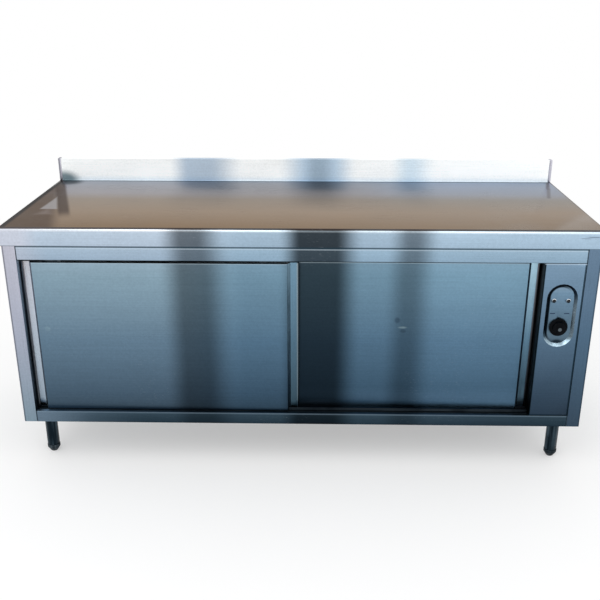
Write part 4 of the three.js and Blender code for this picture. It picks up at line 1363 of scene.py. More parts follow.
    def _build_small(self) -> None:
        """Builds the finishes of the inner and small parts."""
        self.add(
            BrushedSheet(
                # painted shade at the front edge, in the gap beside the rear door
                "partition_sheet", (Tone(-0.302, paint(8, 13, 17)), Tone(-0.27, paint(140, 148, 155))),
                drift=Axis.Y, roughness=0.4,
            ),
            PlainMetal("inner_sheet", paint(158, 166, 172), paint(138, 146, 153)),
            PlainMetal("hanger_zinc", paint(84, 92, 98), paint(52, 60, 66)),
            PlainMetal("track_aluminium", paint(132, 140, 146), paint(92, 100, 106), 0.42),
            # the guide's colour darkened to stand for the shade it lies in
            PlainMetal("guide_aluminium", paint(42, 50, 56), paint(24, 30, 36), 0.42),
            # the legs' and feet's colours darkened to stand for the shade under the bench reflected in them
            PlainMetal("leg_tube", paint(66, 82, 92), paint(16, 27, 35), 0.24, Axis.Z, 70.0, 0.95),
            PlainMetal("foot_metal", paint(84, 94, 100), paint(26, 34, 40), 0.28, Axis.Z, 90.0, 0.8),
            PlainMetal("bolt_zinc", paint(168, 172, 174), paint(120, 124, 128), 0.34, Axis.Z),
            PlainMetal("element_tube", paint(112, 100, 92), paint(62, 54, 52), 0.44),
            PlainMetal("sensor_copper", paint(188, 122, 88), paint(120, 76, 56), 0.3),
            Moulded("knob_black", paint(3, 5, 9), paint(9, 11, 16), 0.3, gloss=0.05),
            Moulded("lamp_lens", paint(6, 10, 12), paint(14, 22, 24), 0.14, 0.00001, 0.2, 0.15),
            Moulded("mark_ink", paint(34, 50, 74), paint(48, 64, 88), 0.6, gloss=0.1),
            Moulded("pointer_grey", paint(66, 76, 82), paint(50, 58, 64), 0.4),
            Moulded("roller_nylon", paint(226, 224, 214), paint(188, 182, 168), 0.45),
            Moulded("stop_rubber", paint(30, 30, 31), paint(58, 58, 60), 0.75, 0.0001, 0.3),
            Moulded("ceramic_body", paint(222, 216, 202), paint(188, 180, 162), 0.55),
            Moulded("wire_braid", paint(140, 52, 40), paint(98, 34, 28), 0.6, 0.0001),
            Moulded("gland_nylon", paint(36, 38, 42), paint(62, 64, 68), 0.5),
            PlyBoard("bench_board", paint(196, 160, 116), paint(142, 106, 70)),
            WoolCore("door_wool", paint(214, 206, 182), paint(168, 156, 128)),
        )


@dataclass
class Sheetwork:
    """Dresses the nodes that come from the frame.

    Attributes:
        palette: The materials by name.
        folds: The rounding of folded edges.
    """

    palette: dict[str, bpy.types.Material]
    folds: FoldedEdges = field(default_factory=FoldedEdges)

    def dress(self, node: str, finish: str, folded: bool = True) -> None:
        """Gives a node its finish and rounds its folds.

        Args:
            node: The node's name.
            finish: The finish's name.
            folded: Whether its edges are rounded.
        """
        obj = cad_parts[node]
        obj.data.materials.clear()
        obj.data.materials.append(self.palette[finish])
        if folded:
            self.folds.round(obj)
        log.info("%s is dressed in %s", node, finish)

    def split(self, node: str, finish: str, wanted: Callable[[bpy.types.MeshPolygon], bool]) -> None:
        """Gives some faces of a node a finish of their own.

        Args:
            node: The node's name.
            finish: The finish's name.
            wanted: The test of one face.
        """
        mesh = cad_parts[node].data
        mesh.materials.append(self.palette[finish])
        for face in mesh.polygons:
            if wanted(face):
                face.material_index = len(mesh.materials) - 1


@dataclass
class Worktop:
    """The worktop sheet, its board and the end caps of its upstand.

    Attributes:
        sheets: Dresses the frame's nodes.
        skin: The thickness within which a face counts as lying on a plane.
    """

    sheets: Sheetwork
    skin: float = 0.0006

    def build(self) -> None:
        """Dresses the worktop, with one finish for each of its sides."""
        self.sheets.dress("worktop", "fascia_sheet")
        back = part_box("worktop")[1][1] - self.skin
        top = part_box("upstand_end_left")[0][2]
        self.sheets.split("worktop", "worktop_sheet", lambda face: self._on_top(face, top))
        self.sheets.split("worktop", "upstand_sheet", lambda face: self._on_upstand(face, top))
        self.sheets.split("worktop", "casing_sheet", lambda face: face.center.y > back)
        self.sheets.dress("worktop_board", "bench_board", folded=False)
        for side in Side:
            self.sheets.dress(f"upstand_end_{side.word}", "left_post_sheet")

    def _on_top(self, face: bpy.types.MeshPolygon, top: float) -> bool:
        """Tells whether a face belongs to the flat top or to the foot of its cove."""
        flat = face.normal.z > 0.9995 and abs(face.center.z - top) < self.skin
        cove = face.normal.z > 0.6 and face.normal.y < -0.1 and face.center.y > 0
        return flat or cove

    def _on_upstand(self, face: bpy.types.MeshPolygon, top: float) -> bool:
        """Tells whether a face belongs to the upstand's front or its upper edge."""
        steep = face.normal.y < -0.75 or face.normal.z > 0.5
        return steep and face.center.z > top + self.skin and face.center.y > 0


@dataclass
class Carcass:
    """The posts, rails, channels, panels, floor, partition and shelf.

    Attributes:
        sheets: Dresses the frame's nodes.
        skin: The thickness within which a face counts as lying on a plane.
    """

    sheets: Sheetwork
    skin: float = 0.0006

    def build(self) -> None:
        """Dresses every node of the carcass."""
        for side in Side:
            post = f"front_post_{side.word}"
            self.sheets.dress(post, f"{side.word}_post_sheet")
            self.sheets.split(post, "post_throat", lambda face, side=side: self._faces_doors(face, side))
            self.sheets.dress(f"back_post_{side.word}", "casing_sheet")
            self.sheets.dress(f"side_panel_{side.word}", "side_sheet")
            self.sheets.dress(f"base_channel_{side.word}", "inner_sheet")
            self.sheets.dress(f"shelf_bracket_{side.word}", "inner_sheet")
        self.sheets.dress("top_front_rail", "rail_sheet")
        self.sheets.dress("bottom_front_rail", "sill_sheet")
        for rail in ("top_back_rail", "bottom_back_rail", "back_panel"):
            self.sheets.dress(rail, "casing_sheet")
        for inner in ("cabinet_floor", "mid_shelf"):
            self.sheets.dress(inner, "inner_sheet")
        self.sheets.dress("partition", "partition_sheet")

    def _faces_doors(self, face: bpy.types.MeshPolygon, side: Side) -> bool:
        """Tells whether a post's face is the one beside the doors."""
        low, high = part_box(f"front_post_{side.word}")
        edge = high[0] if side is Side.LEFT else low[0]
        return face.normal.x * side.value < -0.9 and abs(face.center.x - edge) < self.skin


@dataclass
class SlidingDoors:
    """Both doors with their track, guide, hangers and rollers.

    Attributes:
        sheets: Dresses the frame's nodes.
        bead: The width of the rolled bead at each end of a door.
        slope: How far the sloping wall of a grip ends from the door's end.
        sunk: How far behind a door's face the floor of its grip is at least.
    """

    sheets: Sheetwork
    bead: float = 0.0071
    slope: float = 0.0385
    sunk: float = 0.012

    def build(self) -> None:
        """Dresses the doors and what they run on."""
        for side in Side:
            door = f"{side.word}_door"
            self.sheets.dress(f"{door}_front", "front_door_sheet" if side is Side.LEFT else "rear_door_sheet")
            self._dress_grips(side)
            self.sheets.dress(f"{door}_back", "inner_sheet")
            self.sheets.dress(f"{door}_core", "door_wool", folded=False)
            for end in Side:
                self.sheets.dress(f"{door}_hanger_{end.word}", "hanger_zinc")
                self.sheets.dress(f"{door}_roller_{end.word}", "roller_nylon")
        self.sheets.dress("top_track", "track_aluminium")
        self.sheets.dress("bottom_guide", "guide_aluminium")
        for stop in ("track_stop_front", "track_stop_rear"):
            self.sheets.dress(stop, "stop_rubber")

    def _dress_grips(self, side: Side) -> None:
        """Gives the grips, their slopes and the beads of one door their finishes.

        Args:
            side: Which door.
        """
        node = f"{side.word}_door_front"
        low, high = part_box(node)
        for end in Side:
            edge = low[0] if end is Side.LEFT else high[0]
            grip, slope, bead = self._grip_finishes(side, end)

            def near(face: bpy.types.MeshPolygon, reach: float, edge: float = edge) -> bool:
                """Tells whether a face is within a reach of this end."""
                return abs(face.center.x - edge) < reach

            self.sheets.split(node, grip, lambda face: (
                near(face, self.slope) and face.normal.y < -0.95 and face.center.y > low[1] + self.sunk))
            self.sheets.split(node, slope, lambda face: (
                near(face, self.slope) and 0.8 < abs(face.normal.x) < 0.95 and face.normal.y < 0))
            self.sheets.split(node, bead, lambda face: near(face, self.bead))

    def _grip_finishes(self, side: Side, end: Side) -> tuple[str, str, str]:
        """Returns the finishes of one grip, of its slope and of the bead beside it.

        Args:
            side: Which door.
            end: Which end of the door.

        Returns:
            The names of the three finishes.
        """
        if side is not end:
            return "grip_sheet", "slope_sheet", "bead_sheet"
        if side is Side.LEFT:
            return "pale_grip_sheet", "pale_slope_sheet", "end_sheet"
        return "right_grip_sheet", "slope_sheet", "end_sheet"


@dataclass
class ThermostatKnob:
    """The black knob: a sloping skirt, a ribbed hub, a grip bar and a small grey pointer.

    Attributes:
        palette: The materials by name.
        skirt_height: The height of the skirt.
        hub_share: The hub's radius as a share of the skirt's.
        bar_width: The width of the grip bar.
        bar_share: The bar's length as a share of the skirt's radius.
        bar_waist: The bar's width at its front as a share of its width.
        bar_crown: The bar's length at its front as a share of its length.
        bevel: The rounding of the edges.
        ribs: The number of ribs round the hub.
        rib_share: How much of the hub's radius the hollows between the ribs keep.
        pointer_radius: The radius of the pointer.
        pointer_shift: How far the pointer is beside the bar's middle.
        pointer_drop: How far the pointer is below the knob's centre.
        pointer_rim: The pointer's flat rim as a share of its radius.
        pointer_wall: The sloping wall inside the rim as a share of its radius.
        pointer_dish: The depth of its dish as a share of how far it stands proud.
        proud: How far the pointer stands out of the bar.
    """

    palette: dict[str, bpy.types.Material]
    skirt_height: float = 0.004
    hub_share: float = 0.66
    bar_width: float = 0.022
    bar_share: float = 1.5
    bar_waist: float = 0.72
    bar_crown: float = 0.86
    bevel: float = 0.0012
    ribs: int = 24
    rib_share: float = 0.95
    pointer_radius: float = 0.0056
    pointer_shift: float = 0.0022
    pointer_drop: float = 0.003
    pointer_rim: float = 0.2
    pointer_wall: float = 0.15
    pointer_dish: float = 0.4
    proud: float = 0.0003

    def build(self) -> None:
        """Models the knob in the place of its node."""
        low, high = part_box("thermostat_knob")
        centre = ((low[0] + high[0]) / 2, (low[2] + high[2]) / 2)
        radius = (high[0] - low[0]) / 2
        body = self._turned_body(centre, radius, low[1], high[1])
        bar = self._grip_bar(centre, radius, low[1] + self.proud, high[1])
        knob = join("knob_body", [body, bar])
        knob.data.materials.clear()
        knob.data.materials.append(self.palette["knob_black"])
        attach(knob, "thermostat_knob")
        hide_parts("thermostat_knob")
        pointer = self._pointer(centre, low[1])
        pointer.data.materials.append(self.palette["pointer_grey"])
        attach(pointer, "thermostat_knob")
        log.info("knob_body and knob_pointer are modelled")

    def _turned_body(self, centre: tuple[float, float], radius: float, front: float,
                     back: float) -> bpy.types.Object:
        """Models the skirt and the ribbed hub.

        Args:
            centre: The knob's centre in X and Z.
            radius: The skirt's radius.
            front: The Y of the knob's front.
            back: The Y of its back.

        Returns:
            The turned body.
        """
        bpy.ops.mesh.primitive_cylinder_add(
            vertices=self.ribs * 4, radius=radius, depth=self.skirt_height,
            location=(centre[0], back - self.skirt_height / 2, centre[1]), rotation=(math.pi / 2, 0, 0),
        )
        body = bpy.context.object
        bpy.ops.object.transform_apply(location=True, rotation=True, scale=True)
        hub = radius * self.hub_share
        hub_height = back - front - self.skirt_height - self.bevel
        with edit_mode(body):
            pick_faces(body, lambda face: face.normal.y < -0.9)
            bpy.ops.mesh.inset(thickness=self.bevel, depth=0.0)
            bpy.ops.mesh.inset(thickness=radius - hub - self.bevel * 2, depth=self.bevel)
            bpy.ops.mesh.inset(thickness=self.bevel / 2, depth=self.bevel / 2)
            bpy.ops.mesh.extrude_region_move(
                TRANSFORM_OT_translate={"value": (0, -hub_height + self.bevel * 3.5, 0)})
            bpy.ops.mesh.inset(thickness=self.bevel, depth=self.bevel)
            bpy.ops.mesh.inset(thickness=self.bevel * 1.5, depth=self.bevel / 2)
            pick_vertices(body, lambda spot: self._in_hollow(spot, centre, hub))
            bpy.ops.transform.resize(
                value=(self.rib_share, 1.0, self.rib_share), center_override=(centre[0], back, centre[1]))
        return settle(body, 30.0)

    def _in_hollow(self, spot: Vector, centre: tuple[float, float], hub: float) -> bool:
        """Tells whether a point of the hub's side is between two ribs.

        Args:
            spot: The point.
            centre: The knob's centre in X and Z.
            hub: The hub's radius.

        Returns:
            Whether the point is drawn in.
        """
        across = Vector((spot.x - centre[0], spot.z - centre[1]))
        if not hub * 0.5 < across.length < hub + self.bevel / 4:
            return False
        step = math.tau / self.ribs
        return math.atan2(across.y, across.x) % step < step * 0.45

    def _grip_bar(self, centre: tuple[float, float], radius: float, front: float,
                  back: float) -> bpy.types.Object:
        """Models the bar that fingers grip.

        Args:
            centre: The knob's centre in X and Z.
            radius: The skirt's radius.
            front: The Y of the bar's front.
            back: The Y of the knob's back.

        Returns:
            The bar.
        """
        deep = back - front - self.skirt_height / 2
        bpy.ops.mesh.primitive_cube_add(
            size=1.0, location=(centre[0], front + deep / 2, centre[1]),
            scale=(self.bar_width, deep, radius * self.bar_share),
        )
        bar = bpy.context.object
        bpy.ops.object.transform_apply(location=True, rotation=True, scale=True)
        with edit_mode(bar):
            pick_faces(bar, lambda face: face.normal.y < -0.9)
            bpy.ops.transform.resize(
                value=(self.bar_waist, 1.0, self.bar_crown), center_override=(centre[0], front, centre[1]))
        add_modifier(bar, "BEVEL", width=self.bevel, segments=3)
        return settle(bar, 40.0)

    def _pointer(self, centre: tuple[float, float], front: float) -> bpy.types.Object:
        """Models the dished spot that is let into the bar's front.

        Args:
            centre: The knob's centre in X and Z.
            front: The Y of the knob's front.

        Returns:
            The pointer.
        """
        bpy.ops.mesh.primitive_cylinder_add(
            vertices=28, radius=self.pointer_radius, depth=self.bevel,
            location=(centre[0] + self.pointer_shift, front + self.bevel / 2, centre[1] - self.pointer_drop),
            rotation=(math.pi / 2, 0, 0))
        dot = bpy.context.object
        dot.name = "knob_pointer"
        bpy.ops.object.transform_apply(location=True, rotation=True, scale=True)
        with edit_mode(dot):
            pick_faces(dot, lambda face: face.normal.y < -0.9)
            bpy.ops.mesh.inset(thickness=self.pointer_radius * self.pointer_rim, depth=0.0)
            bpy.ops.mesh.inset(
                thickness=self.pointer_radius * self.pointer_wall, depth=-self.proud * self.pointer_dish)
        return settle(dot, 30.0)


@dataclass
class PilotLamp:
    """A pilot lamp: a chrome bezel with a dark domed lens.

    Attributes:
        palette: The materials by name.
        rim: The width of the bezel's rim.
        rim_height: The height of the rim above the pocket's floor.
        rim_back: How far the rim's back is behind the lamp's front.
        edge: The width of the rim's outer flat.
        lip: The width and the rise of the rim's rounded lips.
        stem: The radius of the body behind the pocket.
        dome_back: How far the dome's centre is behind the lamp's front.
        dome_cut: How far behind the lamp's front the dome is cut off.
        dome_flatness: The dome's depth as a share of its radius.
    """

    palette: dict[str, bpy.types.Material]
    rim: float = 0.0021
    rim_height: float = 0.0028
    rim_back: float = 0.0052
    edge: float = 0.0006
    lip: float = 0.0003
    stem: float = 0.005
    dome_back: float = 0.0036
    dome_cut: float = 0.0042
    dome_flatness: float = 0.72

    def build(self, side: Side) -> None:
        """Models one lamp in the place of its node.

        Args:
            side: Which of the two lamps.
        """
        node = f"pilot_lamp_{side.word}"
        low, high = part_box(node)
        centre = ((low[0] + high[0]) / 2, (low[2] + high[2]) / 2)
        radius = (high[0] - low[0]) / 2
        bezel = self._bezel(centre, radius, low[1], high[1])
        bezel.name = f"lamp_bezel_{side.word}"
        bezel.data.materials.append(self.palette["bezel_chrome"])
        lens = self._lens(centre, radius - self.rim, low[1])
        lens.name = f"lamp_lens_{side.word}"
        lens.data.materials.append(self.palette["lamp_lens"])
        for piece in (bezel, lens):
            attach(piece, "cabinet")
            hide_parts(node)
        log.info("lamp_bezel_%s and lamp_lens_%s are modelled", side.word, side.word)

    def _bezel(self, centre: tuple[float, float], radius: float, front: float,
               back: float) -> bpy.types.Object:
        """Models the bezel with its stem.

        Args:
            centre: The lamp's centre in X and Z.
            radius: The bezel's radius.
            front: The Y of the lamp's front.
            back: The Y of the stem's end.

        Returns:
            The bezel.
        """
        rear = front + self.rim_back
        bpy.ops.mesh.primitive_cylinder_add(
            vertices=40, radius=radius, depth=self.rim_height,
            location=(centre[0], rear - self.rim_height / 2, centre[1]), rotation=(math.pi / 2, 0, 0),
        )
        bezel = bpy.context.object
        bpy.ops.object.transform_apply(location=True, rotation=True, scale=True)
        with edit_mode(bezel):
            pick_faces(bezel, lambda face: face.normal.y < -0.9)
            bpy.ops.mesh.inset(thickness=self.edge, depth=0.0)
            bpy.ops.mesh.inset(thickness=self.rim - self.edge - self.lip, depth=self.lip)
            bpy.ops.mesh.inset(thickness=self.lip, depth=-self.rim_height * 0.6)
            pick_faces(bezel, lambda face: face.normal.y > 0.9)
            bpy.ops.mesh.inset(thickness=radius - self.stem, depth=0.0)
            bpy.ops.mesh.extrude_region_move(TRANSFORM_OT_translate={"value": (0, back - rear, 0)})
        return settle(bezel, 35.0)

    def _lens(self, centre: tuple[float, float], radius: float, front: float) -> bpy.types.Object:
        """Models the domed lens.

        Args:
            centre: The lamp's centre in X and Z.
            radius: The lens's radius.
            front: The Y of the lamp's front.

        Returns:
            The lens.
        """
        bpy.ops.mesh.primitive_uv_sphere_add(
            segments=32, ring_count=16, radius=radius,
            location=(centre[0], front + self.dome_back, centre[1]), scale=(1.0, self.dome_flatness, 1.0),
        )
        lens = bpy.context.object
        bpy.ops.object.transform_apply(location=True, rotation=True, scale=True)
        with edit_mode(lens):
            bpy.ops.mesh.select_all(action="SELECT")
            bpy.ops.mesh.bisect(
                plane_co=(centre[0], front + self.dome_cut, centre[1]), plane_no=(0, 1, 0),
                clear_outer=True, use_fill=True)
        return settle(lens, 50.0)


@dataclass
class ControlBox:
    """The control panel with its knob, lamps and marks, and what is behind it.

    Attributes:
        sheets: Dresses the frame's nodes.
        mark_width: The width of a printed mark.
        mark_height: The height of a printed mark.
        mark_thickness: The thickness of its ink.
        mark_round: The rounding of its edges.
        mark_rise: How far the marks are above the knob's centre.
        pocket_depth: How far the pocket's floor is behind the panel's face.
        skin: The thickness within which a face counts as lying on a plane.
    """

    sheets: Sheetwork
    mark_width: float = 0.016
    mark_height: float = 0.0028
    mark_thickness: float = 0.0002
    mark_round: float = 0.00009
    mark_rise: float = 0.0443
    pocket_depth: float = 0.01
    skin: float = 0.0006

    def build(self) -> None:
        """Dresses the box and models its small parts."""
        self.sheets.dress("control_panel", "control_sheet")
        self.sheets.split("control_panel", "pocket_wall", lambda face: -0.95 < face.normal.y < -0.1)
        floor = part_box("control_panel")[0][1] + self.pocket_depth
        self.sheets.split("control_panel", "pocket_floor", lambda face: (
            face.normal.y < -0.95 and abs(face.center.y - floor) < self.skin))
        self.sheets.dress("thermostat_body", "ceramic_body")
        self.sheets.dress("thermostat_shaft", "inner_sheet")
        self.sheets.dress("terminal_block", "ceramic_body")
        self.sheets.dress("wiring_loom", "wire_braid", folded=False)
        self.sheets.dress("thermostat_sensor", "sensor_copper", folded=False)
        self.sheets.dress("cable_gland", "gland_nylon")
        ThermostatKnob(self.sheets.palette).build()
        lamp = PilotLamp(self.sheets.palette)
        for side in Side:
            lamp.build(side)
            self._mark(side)

    def _mark(self, side: Side) -> None:
        """Models a plain printed dash on the pocket's floor, between a lamp and the knob.

        Args:
            side: Which of the two marks.
        """
        knob_low, knob_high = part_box("thermostat_knob")
        lamp_low, lamp_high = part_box(f"pilot_lamp_{side.word}")
        x = (lamp_low[0] + lamp_high[0]) / 2
        z = (knob_low[2] + knob_high[2]) / 2 + self.mark_rise
        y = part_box("control_panel")[0][1] + self.pocket_depth
        bpy.ops.mesh.primitive_cube_add(
            size=1.0, location=(x, y, z), scale=(self.mark_width, self.mark_thickness, self.mark_height))
        mark = bpy.context.object
        mark.name = f"pocket_mark_{side.word}"
        bpy.ops.object.transform_apply(location=True, rotation=True, scale=True)
        add_modifier(mark, "BEVEL", width=self.mark_round, segments=2)
        settle(mark)
        mark.data.materials.append(self.sheets.palette["mark_ink"])
        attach(mark, "cabinet")
        log.info("%s is modelled", mark.name)


@dataclass
class Heater:
    """The heating element and its guard.

    Attributes:
        sheets: Dresses the frame's nodes.
    """

    sheets: Sheetwork

    def build(self) -> None:
        """Dresses both."""
        self.sheets.dress("heating_element", "element_tube", folded=False)
        self.sheets.dress("heater_guard", "inner_sheet", folded=False)


@dataclass
class Legs:
    """The legs and feet, with the bolts that hold each leg's flange.

    Attributes:
        sheets: Dresses the frame's nodes.
        bolt_circle: The radius of the bolts' circle.
        bolt_radius: The radius of a bolt's head.
        bolt_height: The height of a bolt's head.
        washer_height: The height of its washer.
        washer_share: The washer's radius as a share of the head's.
        flange: The thickness of a leg's flange.
        bolts: The number of bolts in a flange.
    """

    sheets: Sheetwork
    bolt_circle: float = 0.0305
    bolt_radius: float = 0.0065
    bolt_height: float = 0.005
    washer_height: float = 0.0015
    washer_share: float = 1.25
    flange: float = 0.004
    bolts: int = 4

    def build(self) -> None:
        """Dresses the legs and feet and models their bolts."""
        pattern = self._bolt()
        for row in Row:
            for side in Side:
                leg = f"{row.value}_{side.word}"
                self.sheets.dress(f"leg_{leg}", "leg_tube", folded=False)
                self.sheets.dress(f"foot_{leg}", "foot_metal", folded=False)
                self._smooth(f"leg_{leg}")
                self._smooth(f"foot_{leg}")
                self._bolt_flange(leg, pattern)
        bpy.data.objects.remove(pattern)

    def _smooth(self, node: str) -> None:
        """Welds a turned node's facets and shades them as one round.

        Args:
            node: The node's name.
        """
        FoldedEdges(radius=0.0005, segments=2, angle=30.0).round(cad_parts[node])

    def _bolt(self) -> bpy.types.Object:
        """Models one hexagon bolt with its washer, head down, at the origin.

        Returns:
            The bolt.
        """
        bpy.ops.mesh.primitive_cylinder_add(
            vertices=6, radius=self.bolt_radius, depth=self.bolt_height,
            location=(0, 0, -self.washer_height - self.bolt_height / 2))
        head = bpy.context.object
        bpy.ops.object.transform_apply(location=True, rotation=True, scale=True)
        with edit_mode(head):
            pick_faces(head, lambda face: face.normal.z < -0.9)
            bpy.ops.mesh.inset(thickness=self.bolt_radius * 0.16, depth=self.bolt_height * 0.12)
        bpy.ops.mesh.primitive_cylinder_add(
            vertices=28, radius=self.bolt_radius * self.washer_share, depth=self.washer_height,
            location=(0, 0, -self.washer_height / 2))
        washer = bpy.context.object
        bpy.ops.object.transform_apply(location=True, rotation=True, scale=True)
        add_modifier(washer, "BEVEL", width=0.0003, segments=1, limit_method="ANGLE")
        return settle(join("bolt_pattern", [head, washer]), 30.0)

    def _bolt_flange(self, leg: str, pattern: bpy.types.Object) -> None:
        """Puts the bolts under one leg's flange.

        Args:
            leg: The leg's row and side.
            pattern: The bolt to copy.
        """
        low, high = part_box(f"leg_{leg}")
        x = (low[0] + high[0]) / 2
        y = (low[1] + high[1]) / 2
        under = high[2] - self.flange
        copies = []
        for index in range(self.bolts):
            angle = math.tau * (index + 0.5) / self.bolts
            across = self.bolt_circle * math.cos(angle)
            along = self.bolt_circle * math.sin(angle)
            copies.append(copy_to(pattern, f"bolt_{leg}_{index}", (x + across, y + along, under)))
        bolts = join(f"leg_bolts_{leg}", copies)
        bolts.data.materials.clear()
        bolts.data.materials.append(self.sheets.palette["bolt_zinc"])
        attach(bolts, "cabinet")
        log.info("%s is modelled", bolts.name)


@dataclass
class PanelScrews:
    """The screws round the back panel.

    Attributes:
        palette: The materials by name.
        radius: The radius of a screw's head.
        height: The height of its head.
        inset: How far the screws are from the panel's edge.
        columns: The screws along its top and its bottom.
    """

    palette: dict[str, bpy.types.Material]
    radius: float = 0.0042
    height: float = 0.0014
    inset: float = 0.02
    columns: int = 6

    def build(self) -> None:
        """Models the screws as one piece."""
        low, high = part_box("back_panel")
        pattern = self._screw()
        copies = []
        for row, z in enumerate((low[2] + self.inset, high[2] - self.inset)):
            for column in range(self.columns):
                share = column / (self.columns - 1)
                x = low[0] + self.inset + (high[0] - low[0] - self.inset * 2) * share
                copies.append(copy_to(pattern, f"screw_{row}_{column}", (x, high[1], z)))
        bpy.data.objects.remove(pattern)
        screws = join("back_screws", copies)
        screws.data.materials.clear()
        screws.data.materials.append(self.palette["bolt_zinc"])
        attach(screws, "cabinet")
        log.info("back_screws is modelled")

    def _screw(self) -> bpy.types.Object:
        """Models one low round head with a round recess, facing back, at the origin.

        Returns:
            The screw's head.
        """
        bpy.ops.mesh.primitive_cylinder_add(
            vertices=24, radius=self.radius, depth=self.height,
            location=(0, self.height / 2, 0), rotation=(math.pi / 2, 0, 0))
        head = bpy.context.object
        bpy.ops.object.transform_apply(location=True, rotation=True, scale=True)
        with edit_mode(head):
            pick_faces(head, lambda face: face.normal.y > 0.9)
            bpy.ops.mesh.inset(thickness=self.radius * 0.3, depth=0.0)
            bpy.ops.mesh.inset(thickness=self.radius * 0.36, depth=0.0)
            bpy.ops.mesh.inset(thickness=self.radius * 0.08, depth=-self.height * 0.6)
        return settle(head, 30.0)


@dataclass(frozen=True)
class SoftLamp:
    """A soft square lamp.

    Attributes:
        name: The lamp's name.
        place: Where it hangs.
        turn: How it is turned, in degrees.
        size: The length of its side.
        power: Its power in watts.
    """

    name: str
    place: Place
    turn: Place
    size: float
    power: float

    def hang(self) -> None:
        """Adds the lamp to the scene."""
        data = bpy.data.lights.new(self.name, "AREA")
        data.shape = "SQUARE"
        data.size = self.size
        data.energy = self.power
        lamp = bpy.data.objects.new(self.name, data)
        lamp.location = self.place
        lamp.rotation_euler = tuple(math.radians(part) for part in self.turn)
        bpy.context.scene.collection.objects.link(lamp)


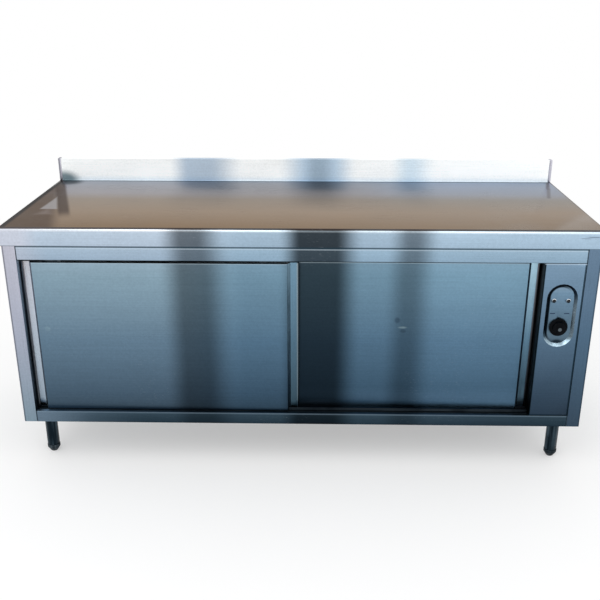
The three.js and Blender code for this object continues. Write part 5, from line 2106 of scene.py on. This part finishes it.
@dataclass
class Studio:
    """The pale floor, the soft lamps, the white surroundings and the camera.

    Attributes:
        camera_place: Where the camera stands, in metres.
        tilt: How far it looks down from level, in degrees.
        swing: How far it is turned to the left, in degrees.
        focal_pixels: The focal length in pixels of a 600 pixel frame.
        frame_pixels: The width of the frame in pixels.
        rise_pixels: How far the optical axis is below the frame's centre, in pixels.
        sensor: The camera's sensor width, in millimetres.
        daylight: The strength of the surroundings as light.
        floor_size: The length of the floor's side.
        floor_fade: How far from the bench the floor has turned white, along X, Y and Z.
        floor_glow: How white the floor already is beside the bench.
        lamps: The soft lamps.
    """

    camera_place: Place = (0.05152, -2.81649, 1.46524)
    tilt: float = 22.45
    swing: float = 1.2
    focal_pixels: float = 859.85
    frame_pixels: float = 600.0
    rise_pixels: float = 40.6
    sensor: float = 36.0
    daylight: float = 0.94
    floor_size: float = 40.0
    floor_fade: Place = (3.0, 2.4, 1.0)
    floor_glow: float = 0.4
    lamps: tuple[SoftLamp, ...] = (
        SoftLamp("key_lamp", (-1.6, -2.8, 3.4), (44.0, 0.0, -28.0), 3.0, 44.0),
        SoftLamp("fill_lamp", (2.4, -2.4, 3.0), (44.0, 0.0, 42.0), 2.8, 18.0),
    )

    def build(self) -> None:
        """Sets up the whole studio."""
        self._camera()
        self._world()
        self._floor()
        for lamp in self.lamps:
            lamp.hang()
        bpy.context.scene.view_settings.view_transform = "Standard"

    def _camera(self) -> None:
        """Adds the camera at the photograph's view."""
        data = bpy.data.cameras.new("studio_camera")
        data.sensor_width = self.sensor
        data.lens = self.focal_pixels / self.frame_pixels * self.sensor
        data.shift_y = self.rise_pixels / self.frame_pixels
        data.clip_end = 60.0
        camera = bpy.data.objects.new("studio_camera", data)
        camera.location = self.camera_place
        camera.rotation_euler = (math.radians(90.0 - self.tilt), 0.0, math.radians(self.swing))
        bpy.context.scene.collection.objects.link(camera)
        bpy.context.scene.camera = camera

    def _world(self) -> None:
        """Makes the surroundings white to the camera and to reflections, and softer as light."""
        world = bpy.data.worlds.new("studio_world")
        world.use_nodes = True
        bpy.context.scene.world = world
        tree = world.node_tree
        tree.nodes.clear()
        strength = tree.nodes.new("ShaderNodeMapRange")
        strength.inputs["To Min"].default_value = self.daylight
        strength.inputs["To Max"].default_value = 1.0
        tree.links.new(self._seen(tree), strength.inputs["Value"])
        background = tree.nodes.new("ShaderNodeBackground")
        background.inputs["Color"].default_value = (1.0, 1.0, 1.0, 1.0)
        tree.links.new(strength.outputs["Result"], background.inputs["Strength"])
        output = tree.nodes.new("ShaderNodeOutputWorld")
        tree.links.new(background.outputs[0], output.inputs["Surface"])

    def _seen(self, tree: bpy.types.NodeTree) -> bpy.types.NodeSocket:
        """Returns 1 where a camera, glossy or transmission ray arrives, and otherwise 0.

        Args:
            tree: The node tree to add to.

        Returns:
            The value's socket.
        """
        path = tree.nodes.new("ShaderNodeLightPath")
        total = path.outputs["Is Camera Ray"]
        for kind in ("Is Glossy Ray", "Is Transmission Ray"):
            larger = tree.nodes.new("ShaderNodeMath")
            larger.operation = "MAXIMUM"
            tree.links.new(total, larger.inputs[0])
            tree.links.new(path.outputs[kind], larger.inputs[1])
            total = larger.outputs[0]
        return total

    def _floor(self) -> None:
        """Lays a wide pale floor that fades into the white surroundings away from the bench."""
        bpy.ops.mesh.primitive_plane_add(size=self.floor_size, location=(0.0, 0.0, 0.0))
        floor = bpy.context.object
        floor.name = "studio_floor"
        desk = Desk("floor_paint")
        dust = desk.noise((1.5, 1.5, 1.5), detail=2.0)
        desk.set("Base Color", desk.mix(dust, (0.93, 0.93, 0.93), (0.96, 0.96, 0.96)))
        desk.set("Roughness", 0.9)
        away = desk.distance((0.0, 0.0, 0.0), self.floor_fade)
        share = desk.math("MULTIPLY", self._seen(desk.tree), desk.ramp(away, 0.3, 1.0, self.floor_glow))
        white = desk.tree.nodes.new("ShaderNodeEmission")
        white.inputs["Color"].default_value = (1.0, 1.0, 1.0, 1.0)
        fade = desk.tree.nodes.new("ShaderNodeMixShader")
        desk.tree.links.new(share, fade.inputs["Fac"])
        desk.tree.links.new(desk.shader.outputs["BSDF"], fade.inputs[1])
        desk.tree.links.new(white.outputs["Emission"], fade.inputs[2])
        desk.tree.links.new(fade.outputs["Shader"], desk.output.inputs["Surface"])
        floor.data.materials.append(desk.material)


def main() -> None:
    """Builds the finishes, the sub-assemblies and the studio in order."""
    logging.basicConfig(level=logging.INFO, format="%(name)s: %(message)s")
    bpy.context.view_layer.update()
    palette = Palette().build()
    sheets = Sheetwork(palette)
    Worktop(sheets).build()
    Carcass(sheets).build()
    SlidingDoors(sheets).build()
    ControlBox(sheets).build()
    Heater(sheets).build()
    Legs(sheets).build()
    PanelScrews(palette).build()
    Studio().build()


if __name__ == "__main__":
    main()
